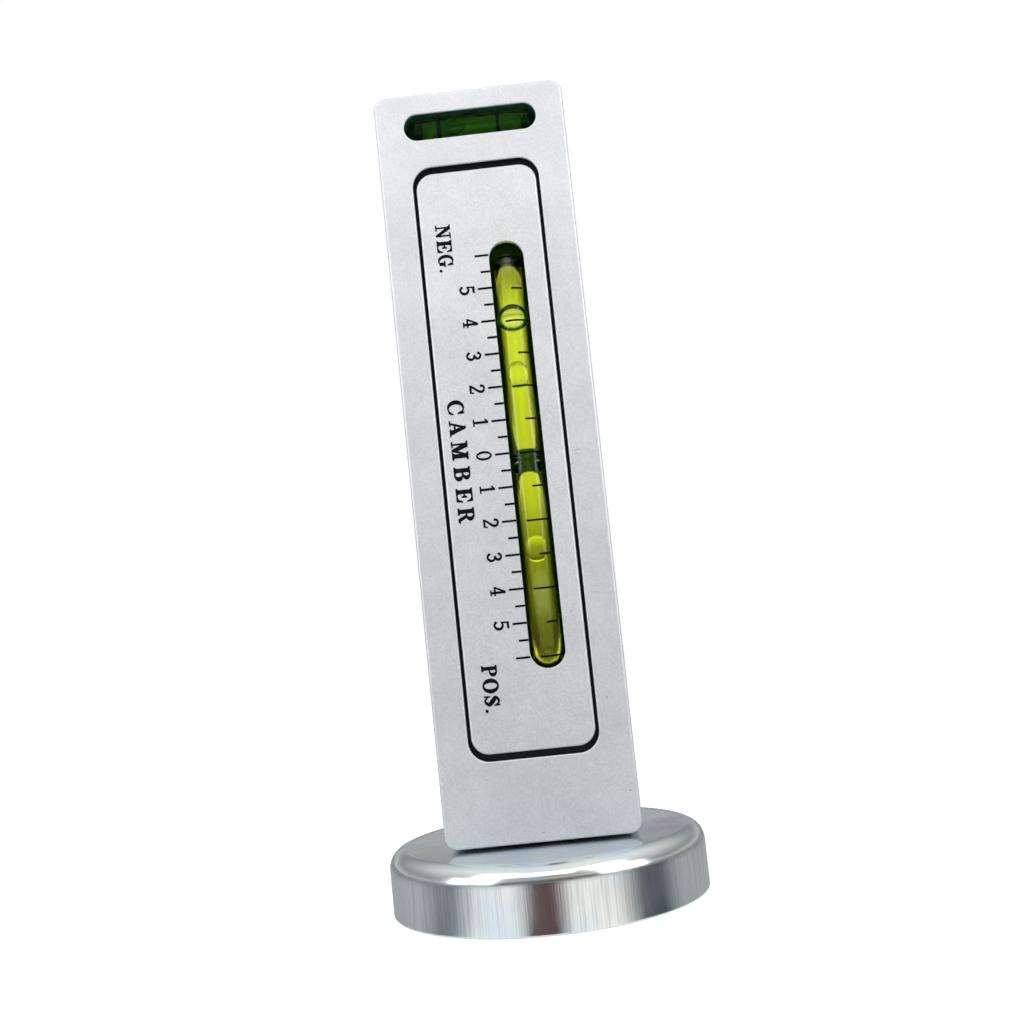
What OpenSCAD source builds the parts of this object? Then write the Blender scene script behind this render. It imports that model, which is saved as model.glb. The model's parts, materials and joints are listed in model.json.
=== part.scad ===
// Magnetic camber and caster gauge: a bar that carries four bubble vials on a round pot magnet.
// The origin is the centre of the magnet's bottom face, +Z runs up the bar, and -Y is the camber face.

/* [Scale] */
// Distance on the camber scale for one degree
degree_pitch = 5.25; // [4.9:0.05:5.5]
// Whole degrees on each side of zero on the camber scale
scale_degrees = 6; // [5:1:6]
// Thickness of a printed line
mark_line = 0.33; // [0.2:0.01:0.4]
// Length of the line at a whole degree
long_mark = 2.2; // [1.8:0.1:2.6]
// Length of the line at a half degree
short_mark = 1.5; // [1:0.1:1.7]

/* [Window] */
// Width of the long window in the camber plate
window_w = 5.45; // [5:0.05:5.8]
// Window's centre line, right of the bar's centre line
window_x = 3.5; // [2.8:0.1:4.4]
// Window beyond the last line, at each end
window_over = 1.95; // [1.8:0.05:3]

/* [Plates] */
// Width of the two scale plates
plate_w = 19; // [18:0.5:21]
// Plate above and below its window
plate_end = 12.1; // [10:0.1:15]
// Corner radius of a plate
plate_corner_r = 2.7; // [2:0.1:4]
// Open line beside a plate, in its pocket
side_gap = 0.5; // [0.3:0.05:0.8]
// Open line above and below a plate
end_gap = 1.05; // [0.4:0.05:1.4]
// Depth of the pocket that a plate lies in
pocket_depth = 1; // [0.8:0.1:1.4]
// Thickness of the adhesive film under a plate
tape_t = 0.1; // [0.05:0.01:0.2]

/* [Bar] */
// Width of the bar
bar_w = 30; // [28:0.5:36]
// Depth of the bar, from the camber face to the caster face
bar_d = 22; // [21:0.5:26]
// Bar below the plate pockets
bar_foot = 12.7; // [12:0.1:18]
// Bar above the plate pockets
bar_head = 12.1; // [11.5:0.1:18]
// Corner radius of the bar, seen from the front
bar_corner_r = 2; // [1:0.1:3]
// Chamfer round the camber and caster faces
edge_break = 0.3; // [0.1:0.05:0.5]

/* [Camber and caster vials] */
// Outside diameter of a long glass tube
tube_d = 6.4; // [6:0.1:6.6]
// Wall of a long glass tube
tube_wall = 0.8; // [0.7:0.05:1]
// Tube beyond the camber window, at each end
tube_over = 1.65; // [1.5:0.05:2.5]
// Length of a plug in the end of a vial
plug_len = 1.6; // [1.2:0.1:1.8]
// Length of a bubble in the long vials
bubble_len = 4.45; // [3.6:0.05:5]
// Thickness of the bubble in the camber vial
bubble_d = 3.7; // [3:0.1:3.8]
// Thickness of the bubble in a caster vial
caster_bubble_d = 3; // [2.4:0.1:3.2]
// Distance on a caster scale for one degree
caster_pitch = 2.6; // [2.4:0.05:2.7]
// Whole degrees on each side of zero on a caster scale
caster_degrees = 5; // [4:1:5]
// Height of the bridge between the two caster windows
bridge_h = 3; // [2.6:0.1:5]

/* [Level vial] */
// Length of the level slot
level_slot_len = 21; // [20:0.5:23]
// Width of the level slot
level_slot_w = 4.2; // [4.1:0.05:4.6]
// Centre of the level slot, below the top of the bar
level_drop = 5.4; // [4.6:0.1:6]
// Outside diameter of the level vial's tube
level_d = 3.9; // [3.6:0.1:3.9]
// Wall of the level vial's tube
level_wall = 0.65; // [0.5:0.05:0.75]
// Distance along the level vial for one degree
level_pitch = 2; // [1.9:0.1:3]
// Distance between the two rings on the level vial
ring_spacing = 9.44; // [8:0.1:10.5]
// Width of a ring on the level vial
ring_w = 0.5; // [0.3:0.05:0.7]
// Length of the level bubble
level_bubble_len = 3.1; // [2.4:0.1:3.4]
// Thickness of the level bubble
level_bubble_d = 1.6; // [1.4:0.1:1.8]

/* [Magnet base] */
// Diameter of the steel cup
cup_d = 50; // [44:1:60]
// Height of the steel cup
cup_h = 10; // [9:0.5:14]
// Radius of the cup's upper edge
shoulder_r = 2.8; // [2:0.1:4]
// Thickness of the cup's sheet
cup_t = 1.8; // [1.5:0.1:2.2]
// Diameter of the hole in the ring magnet
magnet_bore_d = 12; // [11:0.5:12.5]
// Thickness of the spacer between the cup and the bar
spacer_t = 0.4; // [0.2:0.05:0.8]
// Diameter of the base screw's thread
screw_d = 5; // [4:0.5:5]
// Length of the base screw in the bar
screw_grip = 9; // [6:0.5:9.5]

/* [Hidden] */
// Smoothness of round pieces and of the long arcs
round_fn = 64;
arc_fn = 720;
barrel_steps = 10;
run_over_angle = 1;

// Shared clearances
fit_gap = 0.05;
lay_gap = 0.15;
bubble_gap = 0.1;
stop_gap = 0.3;
overrun = 1;
ink_t = 0.04;

// Heights
bar_z = cup_h + spacer_t;
window_len = 2 * (scale_degrees * degree_pitch + window_over);
plate_h = window_len + 2 * plate_end;
pocket_h = plate_h + 2 * end_gap;
pocket_w = plate_w + 2 * side_gap;
pocket_corner_r = plate_corner_r + side_gap;
bar_h = bar_foot + pocket_h + bar_head;
mid_z = bar_z + bar_foot + pocket_h / 2;
level_z = bar_z + bar_h - level_drop;
face_y = bar_d / 2;
floor_y = face_y - pocket_depth;
plate_t = pocket_depth - tape_t;
tape_window_over = 0.3;

// Camber vial, a tube bent to a long arc that bows towards the camber face
tube_r = tube_d / 2;
bore_r = tube_r - tube_wall;
bubble_r = bubble_d / 2;
camber_path_r = degree_pitch * 180 / PI;
camber_rise = bore_r - bubble_gap - bubble_r;
bend_r = camber_path_r - camber_rise;
camber_y = lay_gap + tube_r - floor_y;
bend_centre_y = camber_y + bend_r;
tube_half = window_len / 2 + tube_over;
tube_half_deg = tube_half / bend_r * 180 / PI;
fluid_half_deg = (tube_half - plug_len) / bend_r * 180 / PI;
camber_sag = bend_r * (1 - cos(tube_half_deg));
camber_end_z = (bend_r + tube_r) * sin(tube_half_deg);

// Channels that hold the vials, and the light window in the web between them
channel_w = tube_d + 2 * fit_gap + lay_gap;
bed_len = 2.6;
channel_half = camber_end_z + bed_len;
camber_web_y = camber_y + camber_sag + tube_r + lay_gap;
light_w = tube_d - tube_wall;
light_over = 0.3;

// Caster vials, two straight tubes with barrel ground bores
caster_shift = 0.5;
caster_z = mid_z + caster_shift;
caster_y = floor_y - lay_gap - tube_r;
caster_barrel_r = caster_pitch * 180 / PI;
caster_gap = 0.2;
caster_half = (tube_half + caster_gap) / 2;
caster_off = caster_gap + caster_half;
caster_polish_r = tube_wall / 2;
caster_web_y = caster_y - tube_r - lay_gap;
caster_channel_half = caster_off + caster_half + bed_len;
caster_window_len = (window_len + 2 * light_over - bridge_h) / 2;
caster_window_off = (bridge_h + caster_window_len) / 2;

// Level vial
level_r = level_d / 2;
level_bore_r = level_r - level_wall;
level_bubble_r = level_bubble_d / 2;
level_barrel_r = level_pitch * 180 / PI;
level_shift = -0.35;
level_left_gap = 1.5;
level_right_gap = 1.1;
level_low = level_left_gap - level_slot_len / 2 - level_shift;
level_high = level_slot_len / 2 - level_right_gap - level_shift;
level_plug_len = 1.2;
level_polish_r = level_wall - fit_gap;
level_sink = 0.35;
level_y = level_sink + level_r - face_y;
level_bed_t = 0.3;
level_floor_y = level_y + level_r + level_bed_t;
level_bed_share = 0.8;

// Readings of the bubbles in the photographed pose, in degrees
camber_reading = 4.19;
upper_caster_reading = -1.38;
lower_caster_reading = 1.22;
level_reading = -1.15;

// Lines printed on the camber vial, from its centre line
vial_line = 0.3;
even_left = -1.15;
odd_left = 0.3;
even_right = 2.75;
odd_right = 2;

// Magnet base
cup_r = cup_d / 2;
cup_in_r = cup_r - cup_t;
rim_r = 0.4;
inner_round_r = 1;
magnet_recess = 0.25;
resin_w = 0.8;
resin_recess = 0.5;
magnet_r = cup_in_r - resin_w;
magnet_top = cup_h - cup_t - fit_gap;
screw_r = screw_d / 2;
head_r_share = 0.85;
head_h_share = 0.9;
socket_af_share = 0.8;
socket_depth_share = 0.5;
washer_t = 1.2;
washer_r_share = 0.92;
screw_play = 0.25;
screw_hole_r = screw_r + screw_play;
tap_r = screw_r + fit_gap;
tap_extra = 2;
spacer_r = 8;
head_top = cup_h - cup_t - washer_t;

// Flat outlines, drawn in X and Z
module rounded_outline(w, h, r) {
    square([w - 2 * r, h], center = true);
    square([w, h - 2 * r], center = true);
    for (sx = [-1, 1], sz = [-1, 1])
        translate([sx * (w / 2 - r), sz * (h / 2 - r)]) circle(r, $fn = round_fn);
}

module slot_outline(w, len) {
    square([w, len - w], center = true);
    for (s = [-1, 1])
        translate([0, s * (len - w) / 2]) circle(w / 2, $fn = round_fn);
}

// A flat outline made thick, from y to y + t
module panel(y, t) {
    translate([0, y + t, 0]) rotate([90, 0, 0]) linear_extrude(t) children();
}

// The bar, built from two chamfered slabs and four chamfered corner posts
module chamfered_outline(a, b, c) {
    polygon([
        [-a / 2, -b / 2 + c], [-a / 2 + c, -b / 2], [a / 2 - c, -b / 2], [a / 2, -b / 2 + c],
        [a / 2, b / 2 - c], [a / 2 - c, b / 2], [-a / 2 + c, b / 2], [-a / 2, b / 2 - c]
    ]);
}

module corner_post() {
    rotate([90, 0, 0])
        rotate_extrude($fn = round_fn)
            intersection() {
                chamfered_outline(2 * bar_corner_r, bar_d, edge_break);
                translate([0, -bar_d / 2]) square([bar_corner_r, bar_d]);
            }
}

module bar_block() {
    translate([0, 0, bar_z + bar_h / 2]) {
        translate([0, 0, bar_corner_r - bar_h / 2])
            linear_extrude(bar_h - 2 * bar_corner_r)
                chamfered_outline(bar_w, bar_d, edge_break);
        translate([bar_corner_r - bar_w / 2, 0, 0])
            rotate([0, 90, 0])
                linear_extrude(bar_w - 2 * bar_corner_r)
                    chamfered_outline(bar_h, bar_d, edge_break);
        for (sx = [-1, 1], sz = [-1, 1])
            translate([sx * (bar_w / 2 - bar_corner_r), 0, sz * (bar_h / 2 - bar_corner_r)])
                corner_post();
    }
}

module bar_body() {
    color("silver")
    difference() {
        bar_block();
        for (side = [0, 1])
            mirror([0, side, 0])
                panel(-face_y - overrun, pocket_depth + overrun)
                    translate([0, mid_z]) rounded_outline(pocket_w, pocket_h, pocket_corner_r);
        panel(-floor_y - overrun, floor_y + camber_web_y + overrun)
            translate([window_x, mid_z]) slot_outline(channel_w, 2 * channel_half);
        panel(caster_web_y, floor_y - caster_web_y + overrun)
            translate([window_x, caster_z]) slot_outline(channel_w, 2 * caster_channel_half);
        panel(camber_web_y - overrun, caster_web_y - camber_web_y + 2 * overrun)
            translate([window_x, caster_z]) slot_outline(light_w, window_len + 4 * light_over);
        panel(-face_y - overrun, face_y + level_floor_y + overrun)
            translate([0, level_z]) rotate(90) slot_outline(level_slot_w, level_slot_len);
        translate([0, 0, bar_z - overrun])
            cylinder(r = tap_r, h = screw_grip + tap_extra + overrun, $fn = round_fn);
        translate([0, 0, bar_z + screw_grip + tap_extra])
            cylinder(r1 = tap_r, r2 = 0, h = tap_r, $fn = round_fn);
    }
}

// The two scale plates, the films that hold them and the printed lines
module plate_sheet(y, t, w, h, r) {
    panel(y, t) difference() {
        translate([0, mid_z]) rounded_outline(w, h, r);
        children();
    }
}

module camber_window(extra) {
    translate([window_x, mid_z]) slot_outline(window_w + 2 * extra, window_len + 2 * extra);
}

module caster_windows(extra) {
    for (s = [-1, 1])
        translate([window_x, caster_z + s * caster_window_off])
            slot_outline(window_w + 2 * extra, caster_window_len + 2 * extra);
}

module camber_plate() {
    color("gainsboro")
    plate_sheet(-face_y, plate_t, plate_w, plate_h, plate_corner_r) camber_window(0);
}

module camber_plate_tape() {
    color("black")
    plate_sheet(-floor_y - tape_t, tape_t, pocket_w - 2 * fit_gap, pocket_h - 2 * fit_gap,
        pocket_corner_r - fit_gap) camber_window(tape_window_over);
}

module caster_plate() {
    color("gainsboro")
    plate_sheet(face_y - plate_t, plate_t, plate_w, plate_h, plate_corner_r) caster_windows(0);
}

module caster_plate_tape() {
    color("black")
    plate_sheet(floor_y, tape_t, pocket_w - 2 * fit_gap, pocket_h - 2 * fit_gap,
        pocket_corner_r - fit_gap) caster_windows(tape_window_over);
}

module printed_scale(centre, pitch, degrees) {
    for (i = [-2 * degrees : 2 * degrees]) {
        len = i % 2 == 0 ? long_mark : short_mark;
        translate([window_x - window_w / 2 - len, centre + i * pitch / 2 - mark_line / 2])
            square([len, mark_line]);
    }
}

module camber_scale_marks() {
    color("black")
    panel(-face_y - ink_t, ink_t) printed_scale(mid_z, degree_pitch, scale_degrees);
}

module caster_scale_marks() {
    color("black")
    panel(face_y, ink_t)
        for (s = [-1, 1])
            printed_scale(caster_z + s * caster_window_off, caster_pitch, caster_degrees);
}

// Camber vial: everything in it is swept or placed about the centre of its bend
module on_bend(deg) {
    translate([window_x, bend_centre_y, mid_z])
        rotate([-deg, 0, 0]) translate([0, -bend_r, 0]) children();
}

module bend_sweep(from_deg, to_deg) {
    translate([window_x, bend_centre_y, mid_z])
        rotate([0, 0, -90]) rotate([90, 0, 0]) rotate([0, 0, from_deg])
            rotate_extrude(angle = to_deg - from_deg, $fn = arc_fn)
                translate([bend_r, 0]) children();
}

module camber_vial_tube() {
    color("lightcyan")
    bend_sweep(-tube_half_deg, tube_half_deg) difference() {
        circle(tube_r, $fn = round_fn);
        circle(bore_r, $fn = round_fn);
    }
}

module camber_plug(s) {
    color("dimgray")
    bend_sweep(s > 0 ? fluid_half_deg : -tube_half_deg, s > 0 ? tube_half_deg : -fluid_half_deg)
        circle(bore_r - fit_gap, $fn = round_fn);
}

module camber_vial_upper_plug() { camber_plug(1); }
module camber_vial_lower_plug() { camber_plug(-1); }

// The liquid leaves the bubble's run open along the front of the bore
module camber_vial_fluid() {
    color("yellowgreen")
    bend_sweep(-fluid_half_deg, fluid_half_deg) difference() {
        circle(bore_r - fit_gap, $fn = round_fn);
        translate([camber_rise, 0]) circle(bubble_r + bubble_gap, $fn = round_fn);
    }
}

module bubble_shape(d, len) {
    scale([d / len, d / len, 1]) sphere(d = len, $fn = round_fn);
}

module camber_bubble() {
    color("khaki")
    on_bend(camber_reading) translate([0, -camber_rise, 0]) bubble_shape(bubble_d, bubble_len);
}

// A printed line that wraps the tube between two distances from its centre line
module wrapped_line(left, right) {
    from_deg = asin(left / tube_r) - 90;
    to_deg = asin(right / tube_r) - 90;
    translate([0, 0, -vial_line / 2]) rotate([0, 0, from_deg])
        rotate_extrude(angle = to_deg - from_deg, $fn = arc_fn)
            translate([tube_r, 0]) square([ink_t, vial_line]);
}

module camber_vial_marks() {
    color("black")
    for (i = [-scale_degrees : scale_degrees])
        on_bend(i)
            if (i % 2 == 0) wrapped_line(even_left, even_right);
            else wrapped_line(odd_left, odd_right);
}

// Potting in the round end of a channel, behind the end of a tube
module channel_bed(y, t, centre, half, start, s) {
    color("ivory")
    panel(y, t) intersection() {
        translate([window_x, centre])
            slot_outline(channel_w - 2 * fit_gap, 2 * (half - fit_gap));
        translate([window_x - channel_w / 2, s > 0 ? centre + start : centre - half])
            square([channel_w, half - start]);
    }
}

module camber_bed(s) {
    channel_bed(fit_gap - floor_y, floor_y + camber_web_y - 2 * fit_gap,
        mid_z, channel_half, camber_end_z + fit_gap, s);
}

module camber_vial_upper_bed() { camber_bed(1); }
module camber_vial_lower_bed() { camber_bed(-1); }

// Vials with a barrel ground bore and rounded ends. They stand along Z, and the bore is widest
// at zero.
function barrel_at(inner_r, barrel_r, z) = inner_r - barrel_r + sqrt(barrel_r * barrel_r - z * z);

module barrel_core(inner_r, barrel_r, low, high) {
    rotate_extrude($fn = round_fn) polygon([
        [0, low],
        for (i = [0 : barrel_steps])
            let (z = low + (high - low) * i / barrel_steps) [barrel_at(inner_r, barrel_r, z), z],
        [0, high]
    ]);
}

module barrel_tube(outer_r, inner_r, barrel_r, low, high, polish_r) {
    difference() {
        rotate_extrude($fn = round_fn) {
            translate([0, low]) square([outer_r - polish_r, high - low]);
            translate([0, low + polish_r]) square([outer_r, high - low - 2 * polish_r]);
            for (z = [low + polish_r, high - polish_r])
                translate([outer_r - polish_r, z]) circle(polish_r, $fn = round_fn);
        }
        barrel_core(inner_r, barrel_r, low - overrun, high + overrun);
    }
}

module barrel_plug(inner_r, barrel_r, low, high, plug, s) {
    barrel_core(inner_r - fit_gap, barrel_r, s > 0 ? high - plug : low, s > 0 ? high : low + plug);
}

module barrel_fluid(inner_r, barrel_r, low, high, plug, bubble) {
    reach = asin(max(-low, high) / barrel_r) + run_over_angle;
    difference() {
        barrel_core(inner_r - fit_gap, barrel_r, low + plug, high - plug);
        translate([0, barrel_r - inner_r, 0])
            rotate([0, 0, -90]) rotate([90, 0, 0]) rotate([0, 0, -reach])
                rotate_extrude(angle = 2 * reach, $fn = arc_fn)
                    translate([barrel_r - bubble_gap - bubble, 0])
                        circle(bubble + bubble_gap, $fn = round_fn);
    }
}

module barrel_bubble(inner_r, barrel_r, d, len, reading) {
    translate([0, barrel_r - inner_r, 0]) rotate([-reading, 0, 0])
        translate([0, bubble_gap + d / 2 - barrel_r, 0]) bubble_shape(d, len);
}

// Caster vials, s = 1 for the upper one and -1 for the lower one
module at_caster(s) {
    translate([window_x, caster_y, caster_z + s * caster_off]) children();
}

module caster_tube(s) {
    color("lightcyan")
    at_caster(s)
        barrel_tube(tube_r, bore_r, caster_barrel_r, -caster_half, caster_half, caster_polish_r);
}

module caster_plug(s, end) {
    color("dimgray")
    at_caster(s) barrel_plug(bore_r, caster_barrel_r, -caster_half, caster_half, plug_len, end);
}

module caster_fluid(s) {
    color("yellowgreen")
    at_caster(s)
        barrel_fluid(bore_r, caster_barrel_r, -caster_half, caster_half, plug_len,
            caster_bubble_d / 2);
}

module caster_bubble(s, reading) {
    color("khaki")
    at_caster(s) barrel_bubble(bore_r, caster_barrel_r, caster_bubble_d, bubble_len, reading);
}

module caster_bed(s) {
    channel_bed(caster_web_y + fit_gap, floor_y - caster_web_y - 2 * fit_gap,
        caster_z, caster_channel_half, caster_off + caster_half + fit_gap, s);
}

module upper_caster_tube() { caster_tube(1); }
module upper_caster_upper_plug() { caster_plug(1, 1); }
module upper_caster_lower_plug() { caster_plug(1, -1); }
module upper_caster_fluid() { caster_fluid(1); }
module upper_caster_bubble() { caster_bubble(1, upper_caster_reading); }
module upper_caster_bed() { caster_bed(1); }
module lower_caster_tube() { caster_tube(-1); }
module lower_caster_upper_plug() { caster_plug(-1, 1); }
module lower_caster_lower_plug() { caster_plug(-1, -1); }
module lower_caster_fluid() { caster_fluid(-1); }
module lower_caster_bubble() { caster_bubble(-1, lower_caster_reading); }
module lower_caster_bed() { caster_bed(-1); }

// Level vial, which lies along X
module at_level() {
    translate([level_shift, level_y, level_z]) rotate([0, 90, 0]) children();
}

module level_tube() {
    color("lightcyan")
    at_level()
        barrel_tube(level_r, level_bore_r, level_barrel_r, level_low, level_high, level_polish_r);
}

module level_plug(end) {
    color("dimgray")
    at_level()
        barrel_plug(level_bore_r, level_barrel_r, level_low, level_high, level_plug_len, end);
}

module level_left_plug() { level_plug(-1); }
module level_right_plug() { level_plug(1); }

module level_fluid() {
    color("green")
    at_level()
        barrel_fluid(level_bore_r, level_barrel_r, level_low, level_high, level_plug_len,
            level_bubble_r);
}

module level_rings() {
    color("black")
    at_level()
        for (s = [-1, 1])
            translate([0, 0, s * ring_spacing / 2 - ring_w / 2])
                rotate_extrude($fn = round_fn) translate([level_r, 0]) square([ink_t, ring_w]);
}

module level_bubble() {
    color("gray")
    at_level()
        barrel_bubble(level_bore_r, level_barrel_r, level_bubble_d, level_bubble_len,
            level_reading);
}

module level_bed() {
    color("darkslategray")
    difference() {
        translate([level_shift + level_low, level_y, level_z - level_r * level_bed_share])
            cube([level_high - level_low, level_floor_y - level_y - fit_gap,
                2 * level_r * level_bed_share]);
        at_level() translate([0, 0, level_low - overrun])
            cylinder(r = level_r + fit_gap, h = level_high - level_low + 2 * overrun,
                $fn = round_fn);
    }
}

// Magnet base
module cup_section() {
    difference() {
        union() {
            square([cup_r - shoulder_r, cup_h]);
            square([cup_r, cup_h - shoulder_r]);
            translate([cup_r - shoulder_r, cup_h - shoulder_r])
                circle(shoulder_r, $fn = round_fn);
        }
        translate([-overrun, -overrun])
            square([cup_in_r + overrun, cup_h - cup_t - inner_round_r + overrun]);
        translate([-overrun, -overrun])
            square([cup_in_r - inner_round_r + overrun, cup_h - cup_t + overrun]);
        translate([cup_in_r - inner_round_r, cup_h - cup_t - inner_round_r])
            circle(inner_round_r, $fn = round_fn);
        translate([-overrun, -overrun]) square([screw_hole_r + overrun, cup_h + 2 * overrun]);
        translate([cup_r - rim_r, 0]) difference() {
            translate([0, -overrun]) square([rim_r + overrun, rim_r + overrun]);
            translate([0, rim_r]) circle(rim_r, $fn = round_fn);
        }
    }
}

module magnet_cup() {
    color("lightsteelblue") rotate_extrude($fn = round_fn) cup_section();
}

module ring_body(inner, outer, low, high) {
    rotate_extrude($fn = round_fn) translate([inner, low]) square([outer - inner, high - low]);
}

module magnet_ring() {
    color("dimgray") ring_body(magnet_bore_d / 2, magnet_r, magnet_recess, magnet_top);
}

module magnet_resin() {
    color("darkslategray")
    ring_body(magnet_r + fit_gap, cup_in_r - fit_gap, resin_recess,
        cup_h - cup_t - inner_round_r - fit_gap);
}

module base_screw() {
    head_h = screw_d * head_h_share;
    color("gray")
    difference() {
        union() {
            translate([0, 0, head_top - head_h])
                cylinder(r = screw_d * head_r_share, h = head_h, $fn = round_fn);
            translate([0, 0, head_top - head_h / 2])
                cylinder(r = screw_r, h = bar_z + screw_grip - head_top + head_h / 2,
                    $fn = round_fn);
        }
        translate([0, 0, head_top - head_h - overrun])
            cylinder(d = screw_d * socket_af_share / cos(30),
                h = head_h * socket_depth_share + overrun, $fn = 6);
    }
}

module lock_washer() {
    color("darkgray")
    ring_body(screw_r + fit_gap, screw_d * washer_r_share, head_top, cup_h - cup_t);
}

module spacer_washer() {
    color("black") ring_body(screw_hole_r, spacer_r, cup_h, bar_z);
}

bar_body();
camber_plate();
camber_plate_tape();
camber_scale_marks();
caster_plate();
caster_plate_tape();
caster_scale_marks();
camber_vial_tube();
camber_vial_upper_plug();
camber_vial_lower_plug();
camber_vial_fluid();
camber_vial_marks();
camber_bubble();
camber_vial_upper_bed();
camber_vial_lower_bed();
upper_caster_tube();
upper_caster_upper_plug();
upper_caster_lower_plug();
upper_caster_fluid();
upper_caster_bubble();
upper_caster_bed();
lower_caster_tube();
lower_caster_upper_plug();
lower_caster_lower_plug();
lower_caster_fluid();
lower_caster_bubble();
lower_caster_bed();
level_tube();
level_left_plug();
level_right_plug();
level_fluid();
level_rings();
level_bubble();
level_bed();
magnet_cup();
magnet_ring();
magnet_resin();
base_screw();
lock_washer();
spacer_washer();
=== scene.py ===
import json
import math

import bmesh
import bpy
import numpy as np
from mathutils import Matrix, Vector
from mathutils.geometry import delaunay_2d_cdt, tessellate_polygon


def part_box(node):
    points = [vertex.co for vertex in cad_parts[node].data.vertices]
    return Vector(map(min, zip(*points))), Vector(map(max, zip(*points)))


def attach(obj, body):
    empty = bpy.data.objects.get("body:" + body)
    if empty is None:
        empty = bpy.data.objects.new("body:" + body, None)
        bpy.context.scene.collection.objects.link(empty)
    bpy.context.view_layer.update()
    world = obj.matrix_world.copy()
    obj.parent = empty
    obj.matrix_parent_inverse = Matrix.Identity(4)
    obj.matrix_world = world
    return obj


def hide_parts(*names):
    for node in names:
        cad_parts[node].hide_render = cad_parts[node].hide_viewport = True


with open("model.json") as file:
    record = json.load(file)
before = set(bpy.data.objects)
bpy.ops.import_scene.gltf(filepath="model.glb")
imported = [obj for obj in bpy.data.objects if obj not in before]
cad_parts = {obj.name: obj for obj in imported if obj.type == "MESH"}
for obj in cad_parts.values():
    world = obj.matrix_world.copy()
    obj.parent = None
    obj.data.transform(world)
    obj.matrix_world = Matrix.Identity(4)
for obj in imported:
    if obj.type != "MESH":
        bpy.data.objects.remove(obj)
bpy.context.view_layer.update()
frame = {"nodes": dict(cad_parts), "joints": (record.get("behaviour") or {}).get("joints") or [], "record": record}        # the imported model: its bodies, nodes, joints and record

# Camber and caster gauge: a matte aluminium bar with bubble vials, on a zinc plated pot magnet.
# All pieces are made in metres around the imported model. Lengths in the dictionaries are millimetres.

mm = 0.001
nodes = frame["nodes"]
joints = {joint["name"]: joint for joint in frame["joints"]}
record = frame["record"]
slotOf = {part["node"]: part["material_slot"] for part in record["subparts"]}
weldDistance = 1e-7
hairline = weldDistance * 10      # too short to see, too long to be welded


# Camera, at the photograph's place and angle
cameraSet = {
    "place": (5.123, -200.375, 44.302),
    "yaw": -1.4642,
    "pitch": 4.9075,
    "roll": -5.944,
    "lens": 43.4,
    "sensor": 36.0,
    "clip": (0.005, 20),      # metres
}


def addObject(name, data):
    made = bpy.data.objects.new(name, data)
    bpy.context.scene.collection.objects.link(made)
    return made


def addCamera(values):
    # Turned by the yaw to the right, the pitch upwards and the roll about the line of sight.
    yaw, pitch, roll = (math.radians(values[key]) for key in ("yaw", "pitch", "roll"))
    lens = bpy.data.cameras.new("camera")
    lens.sensor_width, lens.lens = values["sensor"], values["lens"]
    lens.clip_start, lens.clip_end = values["clip"]
    camera = addObject("camera", lens)
    camera.matrix_world = (Matrix.Translation(Vector(values["place"]) * mm) @ Matrix.Rotation(-yaw, 4, "Z")
                           @ Matrix.Rotation(pitch + math.pi / 2, 4, "X") @ Matrix.Rotation(roll, 4, "Z"))
    bpy.context.scene.camera = camera


addCamera(cameraSet)
print("camera is in place")


# Small tools for materials
def hexColour(text):
    # Red, green, blue and alpha, turned from an sRGB hex value to linear.
    parts = [int(text[i:i + 2], 16) / 255 for i in (1, 3, 5)]
    return [p / 12.92 if p <= 0.04045 else ((p + 0.055) / 1.055) ** 2.4 for p in parts] + [1.0]


def addNode(tree, kind, values=None, wires=None, stops=None):
    # Adds one shader node, sets its options and inputs, and links wires into it. A value or a ramp's
    # stop may be an sRGB hex colour, and a node in place of a socket stands for its first output.
    node = tree.nodes.new("ShaderNode" + kind)
    for key, value in (values or {}).items():
        value = hexColour(value) if str(value).startswith("#") else value
        if isinstance(key, str) and hasattr(node, key):
            setattr(node, key, value)
        else:
            node.inputs[key].default_value = value
    for key, source in (wires or {}).items():
        socket = source.outputs[0] if isinstance(source, bpy.types.Node) else source
        tree.links.new(socket, node.inputs[key])
    if stops:
        ramp = node.color_ramp
        while len(ramp.elements) < len(stops):
            ramp.elements.new(0.5)
        for element, (place, colour) in zip(ramp.elements, stops):
            element.position = place
            element.color = hexColour(colour) if isinstance(colour, str) else colour
    return node


def newMaterial(name):
    # A material with an empty tree, and its Object coordinates.
    material = bpy.data.materials.new(name)
    material.use_nodes = True
    tree = material.node_tree
    tree.nodes.clear()
    return material, tree, addNode(tree, "TexCoord").outputs["Object"]


def finishMaterial(material, surface, volume=None):
    wires = {"Surface": surface}
    if volume:
        wires["Volume"] = volume
    addNode(material.node_tree, "OutputMaterial", {}, wires)
    return material


def patterned(name, width, pattern, shader, stops=None, bump=None, kind="TexNoise"):
    # An even surface with one pattern, whose blotches are about so many millimetres wide. The
    # pattern drives the colour by the ramp's stops and the relief by a strength and a height in mm.
    material, tree, place = newMaterial(name)
    shape = addNode(tree, kind, {"Scale": 1 / (width * mm), **pattern}, {"Vector": place})
    wires = {}
    if stops:
        wires["Base Color"] = addNode(tree, "ValToRGB", {}, {"Fac": shape}, stops)
    if bump:
        wires["Normal"] = addNode(tree, "Bump", {"Strength": bump[0], "Distance": bump[1] * mm},
                                  {"Height": shape})
    return finishMaterial(material, addNode(tree, "BsdfPrincipled", shader, wires))


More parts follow.
